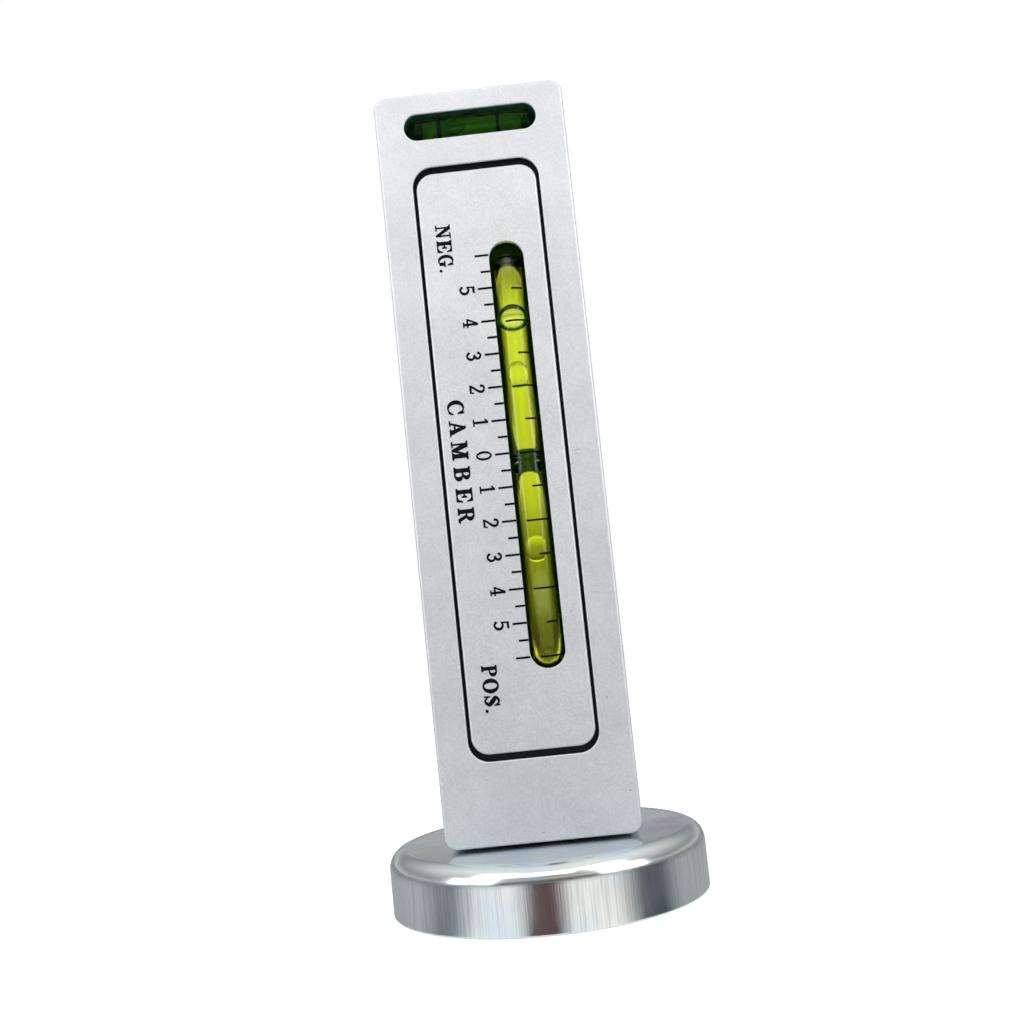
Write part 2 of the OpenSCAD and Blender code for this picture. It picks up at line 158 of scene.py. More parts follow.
# Bead blasted and clear anodised aluminium: a matte silver with a fine even grain that only
# glows softly where it faces the light, and a few tiny nicks from use.
anodisedSet = {
    "grain": 0.26,
    "mottle": 7.0,
    "mottleShare": 0.35,
    "bumpHeight": 0.02,
    "nickDepth": 0.55,
    "nickColour": "#3F4143",
    "nickFront": -10.9,       # nicks show only nearer than this, on the front face
    "nickDeep": 1e6,          # metres, a nick's half length along Y
    # x and z of each nick, its half length and half width, and its slope in degrees
    "barNicks": [
        (11.3, 69.1, 0.75, 0.07, 4), (11.2, 68.5, 0.5, 0.05, -3), (10.2, 67.0, 0.3, 0.08, 60),
        (11.7, 31.0, 0.17, 0.13, 0), (13.7, 16.8, 0.16, 0.14, 0), (0.1, 11.9, 0.35, 0.07, 8),
        (-13.3, 52.0, 0.12, 0.1, 0), (-12.2, 88.5, 0.1, 0.09, 0),
    ],
    "plateNicks": [(7.6, 44.5, 0.13, 0.1, 0), (-7.3, 33.0, 0.1, 0.1, 0), (8.4, 101.2, 0.3, 0.04, 50)],
}


def nickMask(tree, place, nicks):
    # One small ellipse for each nick, as the largest of one minus the squared distance in each
    # ellipse's own axes. A Mapping node moves, turns and shrinks an ellipse to the unit circle, and
    # its long Y keeps depth out of the distance.
    total = None
    for x, z, halfLength, halfWidth, slope in nicks:
        unit = addNode(tree, "Mapping", {
            "vector_type": "TEXTURE", "Location": (x * mm, 0, z * mm),
            "Rotation": (0, -math.radians(slope), 0),
            "Scale": (halfLength * mm, anodisedSet["nickDeep"], halfWidth * mm)}, {"Vector": place})
        far = addNode(tree, "VectorMath", {"operation": "DOT_PRODUCT"}, {0: unit, 1: unit})
        near = addNode(tree, "Math", {"operation": "SUBTRACT", "use_clamp": True, 0: 1.0},
                       {1: far.outputs["Value"]})
        total = near if total is None else addNode(tree, "Math", {"operation": "MAXIMUM"},
                                                   {0: total, 1: near})
    apart = addNode(tree, "SeparateXYZ", {}, {0: place})
    front = addNode(tree, "Math", {"operation": "LESS_THAN", 1: anodisedSet["nickFront"] * mm},
                    {0: apart.outputs["Y"]})
    return addNode(tree, "Math", {"operation": "MULTIPLY"}, {0: total, 1: front})


def anodisedAluminium(name, paleHex, deepHex, nicks):
    material, tree, place = newMaterial(name)
    grain = addNode(tree, "TexNoise", {"Scale": 1 / (anodisedSet["grain"] * mm), "Detail": 3,
                                       "Roughness": 0.65}, {"Vector": place})
    mottle = addNode(tree, "TexNoise", {"Scale": 1 / (anodisedSet["mottle"] * mm), "Detail": 4,
                                        "Roughness": 0.6}, {"Vector": place})
    blend = addNode(tree, "Mix", {"data_type": "FLOAT", "Factor": anodisedSet["mottleShare"]},
                    {2: grain, 3: mottle})
    colour = addNode(tree, "ValToRGB", {}, {"Fac": blend}, [(0.38, deepHex), (0.6, paleHex)])
    depth = addNode(tree, "Math", {"operation": "MULTIPLY", 1: anodisedSet["nickDepth"]},
                    {0: nickMask(tree, place, nicks)})
    darker = addNode(tree, "Mix", {"data_type": "RGBA", 7: anodisedSet["nickColour"]},
                     {"Factor": depth, 6: colour})
    rough = addNode(tree, "MapRange", {"From Min": 0.3, "From Max": 0.7, "To Min": 0.5, "To Max": 0.62},
                    {"Value": grain})
    bump = addNode(tree, "Bump", {"Strength": 1.0, "Distance": anodisedSet["bumpHeight"] * mm},
                   {"Height": grain})
    return finishMaterial(material, addNode(
        tree, "BsdfPrincipled", {"Metallic": 1.0},
        {"Base Color": darker.outputs[2], "Roughness": rough, "Normal": bump}))


# Drawn glass tube: clear, with faint lines along its length from drawing that show as streaks
# where the light is weak. A bore meets liquid and not air, so its IOR is the two IORs' ratio.
glassSet = {"ior": 1.5, "boreIor": 1.5 / 1.4, "streak": 0.35, "streakLength": 60.0,
            "streakHeight": 0.02, "haze": 0.06}


def drawnGlass(name, along, iorKey, mirrorTintHex="#FFFFFF"):
    # The relief is noise that is fine across the tube and long along it.
    material, tree, place = newMaterial(name)
    scale = [1 / (glassSet["streakLength" if axis == along else "streak"] * mm) for axis in "XYZ"]
    mapped = addNode(tree, "Mapping", {"Scale": scale}, {"Vector": place})
    lines = addNode(tree, "TexNoise", {"Scale": 1.0}, {"Vector": mapped})
    bump = addNode(tree, "Bump", {"Strength": 1.0, "Distance": glassSet["streakHeight"] * mm},
                   {"Height": lines})
    return finishMaterial(material, addNode(
        tree, "BsdfPrincipled", {"Transmission Weight": 1.0, "Roughness": glassSet["haze"],
                                 "IOR": glassSet[iorKey], "Specular Tint": mirrorTintHex,
                                 "Base Color": "#FFFFFF"}, {"Normal": bump}))


# Dyed spirit: a clear yellow green liquid that takes nearly all the blue out of the light. Its skin
# doesn't bend light, because the bore's glass already does.
def dyedSpirit(name, tintHex, density):
    material, tree, _ = newMaterial(name)
    surface = addNode(tree, "BsdfPrincipled", {"Transmission Weight": 1.0, "Roughness": 0.0, "IOR": 1.0,
                                               "Base Color": "#FFFFFF"})
    volume = addNode(tree, "VolumeAbsorption", {"Color": tintHex, "Density": density})
    return finishMaterial(material, surface, volume)


# Air in the liquid: its middle stays bright and paler than the liquid round it. Its rim goes dark
# green as a painted dark ring: the belt of faces round its edge takes a darker glass colour. Its IOR is
# matched to the thin rim of the real bubbles. The tint gives back the light that the liquid's volume
# takes inside it. The belt is the rim's share of the half thickness, and a form above 2 gives blunter ends.
bubbleSet = {
    "camber": {"ior": 0.93, "tint": (1.1, 1.08, 2.5, 1.0), "rim": (0.2, 0.44, 0.75, 1.0), "belt": 0.56,
               "length": 4.45, "form": 2.0},
    "caster": {"ior": 0.965, "tint": (1.01, 1.01, 1.1, 1.0), "rim": (0.84, 0.9, 0.95, 1.0), "belt": 0.3,
               "length": 4.45, "form": 2.2},
    "level": {"ior": 0.95, "tint": (1.0, 1.0, 1.1, 1.0), "rim": (0.7, 0.8, 0.9, 1.0), "belt": 0.4,
              "length": 3.1, "form": 2.6},
}


def bubbleAir(vial, part):
    # The material of a bubble's middle, tint, or of its rim, whose darker colour is a painted dark ring.
    material, tree, _ = newMaterial(vial + "Air" + part.capitalize())
    return finishMaterial(material, addNode(tree, "BsdfGlass", {
        "Roughness": 0.0, "IOR": bubbleSet[vial]["ior"], "Color": bubbleSet[vial][part]}))


# Nitrile rubber: soft black with a dull sheen, stained dark green by the spirit. A faint green emission
# is a painted glow, and the plugs near the windows take a stronger painted glow in place of the light
# that reaches them there.
def nitrileRubber(name, glow):
    return patterned(name, 0.2, {}, {"Base Color": "#0C2A14", "Roughness": 0.7, "Specular IOR Level": 0.15,
                                     "Emission Color": "#30D848", "Emission Strength": glow},
                     bump=(1.0, 0.006))


# Dark potting resin behind the vials: a cured filler with a slightly uneven skin.
def pottingResin(name, deepHex, paleHex):
    return patterned(name, 0.8, {"Detail": 3}, {"Roughness": 0.5}, [(0.3, deepHex), (0.7, paleHex)],
                     (1.0, 0.03))


# Bright zinc plate on drawn steel with a clear blue passivation: it mirrors like a worn tin, with
# fine upright draw lines on the side and a faint blue and violet film.
zincSet = {
    "drawLine": 0.24, "drawLength": 16.0, "cloud": 6.0, "film": 9.0, "lineHeight": 0.014,
    "flatShade": 0.94,           # brightness of the top face, where no line darkens it
    "wallTop": (8.2, 6.8),       # the draw lines fade in from the first height down to the second
    "flatEdge": (9.95, 9.3),     # the side's tint does, from the top face
    # where the passivation turned violet, how far that reaches, and the share of this that is full
    "violetSpot": (19.5, -3.0, 10.0), "violetReach": 8.0, "violetFull": 1 / 3,
}


def zincPlate():
    material, tree, place = newMaterial("zincPlatedSteel")
    height = addNode(tree, "SeparateXYZ", {}, {0: place}).outputs["Z"]
    onWall, offFlat = (addNode(tree, "MapRange", {"From Min": start * mm, "From Max": end * mm},
                               {"Value": height}) for start, end in (zincSet["wallTop"], zincSet["flatEdge"]))
    scale = [1 / (zincSet[key] * mm) for key in ("drawLine", "drawLine", "drawLength")]
    mapped = addNode(tree, "Mapping", {"Scale": scale}, {"Vector": place})
    lines = addNode(tree, "TexNoise", {"Scale": 1.0, "Detail": 3.0, "Roughness": 0.62},
                    {"Vector": mapped})
    wallLines = addNode(tree, "Math", {"operation": "MULTIPLY"}, {0: lines, 1: onWall})
    cloud = addNode(tree, "TexNoise", {"Scale": 1 / (zincSet["cloud"] * mm), "Detail": 4, "Roughness": 0.62},
                    {"Vector": place})
    film = addNode(tree, "TexNoise", {"Scale": 1 / (zincSet["film"] * mm), "Detail": 3, "Roughness": 0.55},
                   {"Vector": place})
    away = addNode(tree, "VectorMath", {"operation": "DISTANCE",
                                        1: [value * mm for value in zincSet["violetSpot"]]}, {0: place})
    reach = zincSet["violetReach"] * mm
    violet = addNode(tree, "MapRange", {"From Min": reach, "From Max": reach * zincSet["violetFull"]},
                     {"Value": away.outputs["Value"]})
    patchy = addNode(tree, "MapRange", {"From Min": 0.38, "From Max": 0.58}, {"Value": film})
    violetShare = addNode(tree, "Math", {"operation": "MULTIPLY"}, {0: violet, 1: patchy})
    topTint = addNode(tree, "ValToRGB", {}, {"Fac": film},
                      [(0.35, "#B9C8DC"), (0.5, "#C3D2DA"), (0.66, "#CDD8D6")])
    violetTint = addNode(tree, "Mix", {"data_type": "RGBA", 7: "#B49BD0"},
                         {"Factor": violetShare, 6: topTint})
    wallTint = addNode(tree, "ValToRGB", {}, {"Fac": film}, [(0.34, "#D8E6EE"), (0.66, "#EDEFEA")])
    tint = addNode(tree, "Mix", {"data_type": "RGBA"},
                   {"Factor": offFlat, 6: violetTint.outputs[2], 7: wallTint})
    shade = addNode(tree, "MapRange", {"From Min": 0.3, "From Max": 0.56, "To Min": 0.72, "To Max": 1.0},
                    {"Value": wallLines})
    streaks = addNode(tree, "Mix", {"data_type": "FLOAT", 2: zincSet["flatShade"]},
                      {"Factor": onWall, 3: shade})
    colour = addNode(tree, "Mix", {"data_type": "RGBA", "blend_type": "MULTIPLY", "Factor": 1.0},
                     {6: tint.outputs[2], 7: streaks})
    rough = addNode(tree, "MapRange", {"From Min": 0.3, "From Max": 0.75, "To Min": 0.13, "To Max": 0.26},
                    {"Value": cloud})
    bump = addNode(tree, "Bump", {"Strength": 1.0, "Distance": zincSet["lineHeight"] * mm},
                   {"Height": wallLines})
    return finishMaterial(material, addNode(
        tree, "BsdfPrincipled", {"Metallic": 1.0},
        {"Base Color": colour.outputs[2], "Roughness": rough, "Normal": bump}))


finish = {
    "anodised_bar": anodisedAluminium("anodisedBar", "#EEF0F3", "#DFE1E4", anodisedSet["barNicks"]),
    "anodised_plate": anodisedAluminium("anodisedPlate", "#F1F3F5", "#E0E2E4", anodisedSet["plateNicks"]),
    # Matte black plastic film and sealant: dead black in the narrow line round a plate
    "black_film": patterned("blackPolyesterFilm", 0.6, {}, {"Roughness": 0.62, "Specular IOR Level": 0.25},
                            [(0.3, "#08090B"), (0.7, "#101216")]),
    # Screen printed epoxy ink: black, flat, a little uneven where it is thin
    "black_ink": patterned("blackScreenInk", 0.25, {"Detail": 3, "Roughness": 0.7},
                           {"Roughness": 0.75, "Specular IOR Level": 0.12},
                           [(0.35, "#040506"), (0.75, "#0E1013")]),
    "vial_glass": drawnGlass("drawnGlassUpright", "Z", "ior"),
    "vial_liquid": dyedSpirit("dyedSpirit", "#F6FB12", 480.0),
    "air_bubble": bubbleAir("camber", "tint"),
    "vial_plug": nitrileRubber("nitrileRubber", 0.003),
    "potting": pottingResin("darkPottingResin", "#1E2B26", "#2B3C34"),
    "zinc_plated_cup": zincPlate(),
    # Sintered ferrite, ground flat: dark grey, nearly matte, with fine pores
    "ferrite": patterned("sinteredFerrite", 0.7, {}, {"Roughness": 0.48},
                         [(0.05, "#17181A"), (0.3, "#2E3032")], (0.6, 0.02), "TexVoronoi"),
    # Black epoxy that fills the ring between ferrite and cup: glossy with low waves
    "black_resin": patterned("blackEpoxy", 2.2, {}, {"Base Color": "#0C0C0D", "Roughness": 0.22},
                             bump=(1.0, 0.08)),
    # Zinc plated screw steel: satin grey, a little darker than the cup
    "screw_steel": patterned("zincPlatedScrew", 1.2, {"Detail": 3}, {"Metallic": 1.0, "Roughness": 0.34},
                             [(0.3, "#8D9094"), (0.7, "#B4B8BC")]),
}
# Painted shade in the channels and the level slot: a near black, dark green colour stands in for the
# shade of these recesses and for the green light the dye throws on them, and a faint green emission is
# a painted glow. In the render it stays near black where little light gets in.
recessShade = patterned("blackLacquer", 1.1, {"Detail": 3},
                    {"Roughness": 0.7, "Specular IOR Level": 0.1, "Emission Color": "#20C850",
                     "Emission Strength": 0.004}, [(0.35, "#1B3A30"), (0.7, "#2A5244")])
greenSpirit = dyedSpirit("greenDyedSpirit", "#B4FF28", 450.0)
boreFinish = drawnGlass("drawnGlassBore", "Z", "boreIor")
# The cross vial's skin mirrors in green, a painted reflection tint that blends its mirrored light into the
# dark green slot
crossGlass = drawnGlass("drawnGlassCross", "X", "ior", "#4C7A38")
crossBore = drawnGlass("drawnGlassCrossBore", "X", "boreIor")
print("materials are made")

# Imported nodes that keep their own mesh take the finish of their slot
# The plugs next to the light window take a copy of the rubber with a stronger painted glow
glowPaintedRubber = nitrileRubber("litNitrileRubber", 0.05)
ownFinish = {"level_bed": pottingResin("stainedPottingResin", "#2C4A1A", "#3C6024"),
             "upper_caster_lower_plug": glowPaintedRubber, "lower_caster_upper_plug": glowPaintedRubber}
for nodeName, node in nodes.items():
    for slotItem in node.material_slots:
        slotItem.material = ownFinish.get(nodeName, finish[slotOf[nodeName]])


# Small tools for meshes
def gridFaces(rows, columns, closed=True):
    # Quads of a grid whose points are stored row by row. With closed, each row is a ring.
    wide = columns if closed else columns - 1
    row, column = np.meshgrid(np.arange(rows - 1), np.arange(wide), indexing="ij")
    following = (column + 1) % columns
    corners = [row * columns + column, row * columns + following,
               (row + 1) * columns + following, (row + 1) * columns + column]
    return np.stack(corners, -1).reshape(-1, 4).tolist()


def lofted(loops, skip=None):
    # Skin over closed loops that have the same number of points. skip leaves out one quad of the
    # strip that follows a loop, given as (loop, side).
    count = len(loops[0])
    faces = gridFaces(len(loops), count)
    if skip:
        del faces[skip[0] * count + skip[1]]
    return np.concatenate(loops), faces


def filled(outer, *holes):
    # Flat sheet inside a closed loop, with holes cut by the other loops.
    loops = [outer, *holes]
    triangles = tessellate_polygon([[Vector(point) for point in loop] for loop in loops])
    return np.concatenate(loops), [list(triangle) for triangle in triangles]


def joined(parts):
    points, faces, start = [], [], 0
    for somePoints, someFaces in parts:
        points.append(somePoints)
        faces += [[index + start for index in face] for face in someFaces]
        start += len(somePoints)
    return np.concatenate(points), faces


def makePiece(name, parts, slot, materials=None, body="gauge", stands=(), sharp=35, weighted=False,
              materialOf=None):
    # Makes one welded mesh from (points, faces) parts, turns its faces outwards and rides it on a
    # body. Its material is the slot's, or materialOf gives the material's index for each face centre.
    points, faces = joined(parts)
    mesh = bpy.data.meshes.new(name)
    mesh.from_pydata(points.tolist(), [], faces)
    work = bmesh.new()
    work.from_mesh(mesh)
    bmesh.ops.remove_doubles(work, verts=work.verts, dist=weldDistance)
    bmesh.ops.dissolve_degenerate(work, edges=work.edges, dist=weldDistance)
    bmesh.ops.recalc_face_normals(work, faces=work.faces)
    work.to_mesh(mesh)
    work.free()
    mesh.shade_smooth()
    mesh.set_sharp_from_angle(angle=math.radians(sharp))
    for material in materials or [finish[slot]]:
        mesh.materials.append(material)
    if materialOf:
        centres = np.empty(len(mesh.polygons) * 3)
        mesh.polygons.foreach_get("center", centres)
        mesh.polygons.foreach_set("material_index", materialOf(centres.reshape(-1, 3)).astype(np.int32))
    piece = addObject(name, mesh)
    if weighted:
        piece.modifiers.new("evenShading", "WEIGHTED_NORMAL").keep_sharp = True
    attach(piece, body)
    if stands:
        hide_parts(*stands)


def roundLoop(width, height, radius, steps=10):
    # Rounded rectangle in X and Z about zero: four quarter circles joined by straight sides.
    turn = np.linspace(0, np.pi / 2, steps + 1)
    corners = [(1, 1, 0), (-1, 1, 1), (-1, -1, 2), (1, -1, 3)]
    return np.concatenate([
        np.stack([sideX * (width / 2 - radius) + radius * np.cos(turn + quarter * np.pi / 2),
                  sideZ * (height / 2 - radius) + radius * np.sin(turn + quarter * np.pi / 2)], -1)
        for sideX, sideZ, quarter in corners])


def placedLoop(shape, y, grow=0.0):
    # The loop of a shape, given as centre x, centre z, width, height and corner radius in metres,
    # at depth y and grown outwards by an offset.
    x, z, width, height, radius = shape
    loop = roundLoop(width + 2 * grow, height + 2 * grow, max(radius + grow, hairline))
    return np.stack([loop[:, 0] + x, np.full(len(loop), y), loop[:, 1] + z], -1)


def edgeLoops(shape, faceY, inwardY, size, outside, steps=4):
    # Loops of a rounded edge between a flat face and the wall of a shape. The edge is a quarter
    # circle of that size. outside is 1 for an outer edge and -1 for the edge of an opening.
    turn = np.linspace(0, np.pi / 2, steps + 1)
    return [placedLoop(shape, faceY + inwardY * size * (1 - math.cos(t)), -outside * size * (1 - math.sin(t)))
            for t in turn]


def walled(shape, faceY, inwardY, size, outside, endY, steps=4):
    # The rounded edge of a shape and the wall behind it, up to another depth.
    return edgeLoops(shape, faceY, inwardY, size, outside, steps) + [placedLoop(shape, endY)]


def shapeOf(node, radius, grow=0.0):
    # Centre, size and corner radius of a node's outline, seen from the front.
    nodeLow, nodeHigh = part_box(node)
    return ((nodeLow.x + nodeHigh.x) / 2, (nodeLow.z + nodeHigh.z) / 2, nodeHigh.x - nodeLow.x + 2 * grow,
            nodeHigh.z - nodeLow.z + 2 * grow, radius)


# The bar and what is cut into it
barSet = {
    "cornerRadius": 2.0, "edgeRound": 0.45, "openingRound": 0.2,
    "pocketCorner": 3.2, "pocketDepth": 1.0, "filmPlay": 0.05,
    "channelWidth": 6.65, "channelOverTube": 2.6,
    # The opening between the two channels, and the y of the web round it
    "lightSize": (5.6, 68.1), "webFront": -1.2514, "webBack": 3.3,
    "levelSlot": (21.0, 4.2), "levelFloor": -6.45,
    "tapRadius": 2.55, "tapDepth": 11.0, "tapAround": 48,
    # how far the painted shade reaches past the walls of the recesses, across and at the ends
    "lacquerPlay": 0.02, "lacquerEndPlay": 1.0,
}
low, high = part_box("bar_body")
tubeLow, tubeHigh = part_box("camber_vial_tube")
levelLow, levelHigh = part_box("level_tube")
casterFoot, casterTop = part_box("lower_caster_tube")[0].z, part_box("upper_caster_tube")[1].z
vialX = (tubeLow.x + tubeHigh.x) / 2
casterMid = (casterTop + casterFoot) / 2
levelZ = (levelLow.z + levelHigh.z) / 2
barShape = shapeOf("bar_body", barSet["cornerRadius"] * mm)
pocketShape = shapeOf("camber_plate_tape", barSet["pocketCorner"] * mm, barSet["filmPlay"] * mm)
floorFront, floorBack = low.y + barSet["pocketDepth"] * mm, high.y - barSet["pocketDepth"] * mm
channelWidth = barSet["channelWidth"] * mm
camberChannel, casterChannel = ((vialX, (foot + top) / 2, channelWidth,
                                 top - foot + 2 * barSet["channelOverTube"] * mm, channelWidth / 2)
                                for foot, top in ((tubeLow.z, tubeHigh.z), (casterFoot, casterTop)))
lightWidth, lightHeight = (value * mm for value in barSet["lightSize"])
lightShape = (vialX, casterMid, lightWidth, lightHeight, lightWidth / 2)
slotWidth, slotHeight = (value * mm for value in barSet["levelSlot"])
levelShape = (0.0, levelZ, slotWidth, slotHeight, slotHeight / 2 - weldDistance)


def barParts():
    # Outer skin with rounded front and back edges, two pockets with a channel each, the light
    # window between them, the level slot and the tapped hole in the foot.
    edgeRound, small, webFront, webBack, levelFloor, tap, tapDepth = (
        barSet[key] * mm for key in ("edgeRound", "openingRound", "webFront", "webBack", "levelFloor",
                                     "tapRadius", "tapDepth"))
    frontEdge = edgeLoops(barShape, low.y, 1, edgeRound, 1)
    backEdge = edgeLoops(barShape, high.y, -1, edgeRound, 1)[::-1]
    bottomSide = len(frontEdge[0]) * 3 // 4 - 1
    frontPocket = walled(pocketShape, low.y, 1, small, -1, floorFront)
    backPocket = walled(pocketShape, high.y, -1, small, -1, floorBack)
    levelSlot = walled(levelShape, low.y, 1, small, -1, levelFloor)
    frontChannel, backChannel, light = (
        [placedLoop(shape, start), placedLoop(shape, end)]
        for shape, start, end in ((camberChannel, floorFront, webFront), (casterChannel, floorBack, webBack),
                                  (lightShape, webFront, webBack)))
    parts = [lofted(frontEdge + backEdge, (len(frontEdge) - 1, bottomSide))]
    parts += [lofted(loops) for loops in (frontPocket, backPocket, levelSlot, frontChannel, backChannel,
                                          light)]
    parts += [filled(*loops) for loops in (
        (frontEdge[0], frontPocket[0], levelSlot[0]), (backEdge[-1], backPocket[0]),
        (frontPocket[-1], frontChannel[0]), (backPocket[-1], backChannel[0]),
        (frontChannel[-1], light[0]), (backChannel[-1], light[-1]), (levelSlot[-1],))]
    turn = np.linspace(0, 2 * np.pi, barSet["tapAround"], endpoint=False)
    ring = np.stack([tap * np.cos(turn), tap * np.sin(turn), np.full(len(turn), low.z)], -1)
    tip = np.tile([0, 0, low.z + tapDepth + tap], (len(turn), 1))
    foot = np.array([frontEdge[-1][bottomSide], frontEdge[-1][bottomSide + 1],
                     backEdge[0][bottomSide + 1], backEdge[0][bottomSide]])
    return parts + [filled(foot, ring), lofted([ring, ring + [0, 0, tapDepth], tip])]


def inLacquer(centres):
    # 1 for the walls of the channels, the light window and the level slot, which take the painted shade
    x, y, z = centres.T
    play = barSet["lacquerPlay"] * mm
    inChannel = ((abs(x - vialX) < channelWidth / 2 + play) & (abs(y) < floorBack - hairline)
                 & (abs(z - casterMid) < camberChannel[3] / 2 + barSet["lacquerEndPlay"] * mm))
    inLevel = ((abs(x) < slotWidth / 2 + play) & (abs(z - levelZ) < slotHeight / 2 + play)
               & (y > low.y + barSet["openingRound"] * mm) & (y < 0))
    return inChannel | inLevel


# The walls of the recesses take the painted shade as the bar's second material
makePiece("anodised_bar", barParts(), "anodised_bar", [finish["anodised_bar"], recessShade],
          stands=["bar_body"], weighted=True, materialOf=inLacquer)
print("bar is made")


# Scale plates: punched sheet with a softly rolled outer edge, and the black film under each
plateSet = {"corner": 2.7, "rolledEdge": 0.34, "windowEdge": 0.1, "windowWidth": 5.45,
            "camberWindow": 66.9, "casterWindow": 32.25, "filmWindowOver": 0.3,
            "lipThickness": 0.06, "lipShort": 0.14}
sideOf = {"camber": -1, "caster": 1}
# The caster windows end level with the film under the camber window, a little above and below it
casterReach = (plateSet["camberWindow"] - plateSet["casterWindow"]) / 2 + plateSet["filmWindowOver"]


def windowShapes(side):
    # The window of the camber plate, or the two windows of the caster plate.
    width = plateSet["windowWidth"] * mm
    places = ([("camberWindow", pocketShape[1])] if side < 0
              else [("casterWindow", casterMid + way * casterReach * mm) for way in (-1, 1)])
    return [(vialX, z, width, plateSet[window] * mm, width / 2 - weldDistance) for window, z in places]


def punched(skin, openings):
    # Closed sheet: its outer skin, the walls of its windows and the two flat faces between them.
    return [lofted(loops) for loops in (skin, *openings)] + [
        filled(skin[end], *[loops[end] for loops in openings]) for end in (0, -1)]


def plateParts(node, side):
    # Sheet between two flat faces: the outer edge is rolled over on the side that shows.
    backY, faceY = (corner.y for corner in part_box(node)[::side])
    outer = walled(shapeOf(node, plateSet["corner"] * mm), faceY, -side, plateSet["rolledEdge"] * mm,
                   1, backY)
    return punched(outer, [walled(shape, faceY, -side, plateSet["windowEdge"] * mm, -1, backY, 3)
                           for shape in windowShapes(side)])


def filmParts(node, side):
    # Film on the pocket's floor whose edge turns up along the pocket's wall as a thin lip.
    outer = shapeOf(node, (barSet["pocketCorner"] - barSet["filmPlay"]) * mm)
    floorY, topY = (corner.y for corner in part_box(node)[::side])
    rimY = (low.y if side < 0 else high.y) - side * plateSet["lipShort"] * mm
    lip, over = plateSet["lipThickness"] * mm, plateSet["filmWindowOver"] * mm
    skin = [placedLoop(outer, y, grow) for y, grow in ((floorY, 0), (rimY, 0), (rimY, -lip), (topY, -lip))]
    return punched(skin, [[placedLoop(shape, y, over) for y in (floorY, topY)]
                          for shape in windowShapes(side)])


for face, side in sideOf.items():
    makePiece(face + "_scale_plate", plateParts(face + "_plate", side), "anodised_plate",
              stands=[face + "_plate"], weighted=True)
for face, side in sideOf.items():
    makePiece(face + "_pocket_film", filmParts(face + "_plate_tape", side), "black_film",
              stands=[face + "_plate_tape"])
print("plates and films are made")


# Printed numerals and scale words. A glyph is a list of flat shapes on a line from 0, one unit tall.
inkSet = {"thickness": 0.04, "arcSteps": 28, "strokeSteps": 8, "dotSteps": 24, "spread": 0.024,
          "leastMitre": 0.4, "merge": 1e-5}


def block(left, bottom, right, top):
    return np.array([(left, bottom), (right, bottom), (right, top), (left, top)], float)


def outline(*corners):
    return np.array(corners, float)


def bowl(centre, outer, inner, start, end, innerShift=0.0):
    # Part of a ring between two ellipses, from start to end in degrees. The inner ellipse may be
    # shifted along X, which makes one side heavier.
    turn = np.radians(np.linspace(start, end, inkSet["arcSteps"]))
    outside = np.stack([centre[0] + outer[0] * np.cos(turn), centre[1] + outer[1] * np.sin(turn)], -1)
    inside = np.stack([centre[0] + innerShift + inner[0] * np.cos(turn),
                       centre[1] + inner[1] * np.sin(turn)], -1)
    return np.concatenate([outside, inside[::-1]])


def penStroke(points, widths):
    # A smooth line through the points whose width changes from point to point. Each span is a
    # Catmull-Rom curve, and the two sides stand half a width off its normal.
    points, widths = np.array(points, float), np.array(widths, float)
    ends = np.concatenate([[2 * points[0] - points[1]], points, [2 * points[-1] - points[-2]]])
    t = np.linspace(0, 1, inkSet["strokeSteps"], endpoint=False)[:, None]
    spans = [0.5 * (2 * b + (c - a) * t + (2 * a - 5 * b + 4 * c - d) * t ** 2
                    + (3 * b - a - 3 * c + d) * t ** 3)
             for a, b, c, d in zip(ends, ends[1:], ends[2:], ends[3:])]
    line = np.concatenate([*spans, points[-1:]])
    width = np.interp(np.arange(len(line)), np.arange(len(points)) * inkSet["strokeSteps"], widths)
    slope = np.gradient(line, axis=0)
    normal = np.stack([-slope[:, 1], slope[:, 0]], -1) / np.linalg.norm(slope, axis=1)[:, None]
    side = normal * width[:, None] / 2
    return np.concatenate([line + side, (line - side)[::-1]])


def serifStem(left, right, over=0.1, foot=True, head=True):
    # Upright stem with flat bracketed serifs.
    shapes = [block(left, 0, right, 1)]
    for wanted, edge, way in ((foot, 0, 1), (head, 1, -1)):
        if wanted:
            shapes.append(outline((left - over, edge), (right + over, edge),
                                  (right + over, edge + way * 0.05), (right, edge + way * 0.13),
                                  (left, edge + way * 0.13), (left - over, edge + way * 0.05)))
    return shapes


dotTurn = np.linspace(0, 2 * np.pi, inkSet["dotSteps"], endpoint=False)
dot = np.stack([0.1 + 0.08 * np.cos(dotTurn), 0.1 + 0.08 * np.sin(dotTurn)], -1)
roundC = [bowl((0.46, 0.5), (0.46, 0.52), (0.32, 0.455), 44, 322, 0.08),
          outline((0.78, 1.0), (0.85, 1.0), (0.86, 0.62), (0.81, 0.62), (0.70, 0.84)),
          penStroke([(0.70, 0.07), (0.82, 0.15), (0.87, 0.33)], [0.1, 0.08, 0.03])]
beakTop = outline((0.58, 0.94), (0.83, 1.0), (0.86, 0.67), (0.81, 0.67), (0.74, 0.86))
beakFoot = outline((0.56, 0.06), (0.84, 0.0), (0.88, 0.36), (0.83, 0.36), (0.74, 0.14))
tickArm = outline((0.3, 0.47), (0.46, 0.47), (0.53, 0.35), (0.58, 0.35), (0.58, 0.66), (0.53, 0.66),
                  (0.46, 0.53), (0.3, 0.53))
letterE = serifStem(0.1, 0.33) + [block(0.3, 0.945, 0.83, 1), block(0.3, 0, 0.84, 0.055),
                                  beakTop, beakFoot, tickArm]
upperBowl = [bowl((0.44, 0.745), (0.38, 0.255), (0.15, 0.2), -90, 90), block(0.3, 0.945, 0.45, 1),
             block(0.3, 0.49, 0.45, 0.545)]
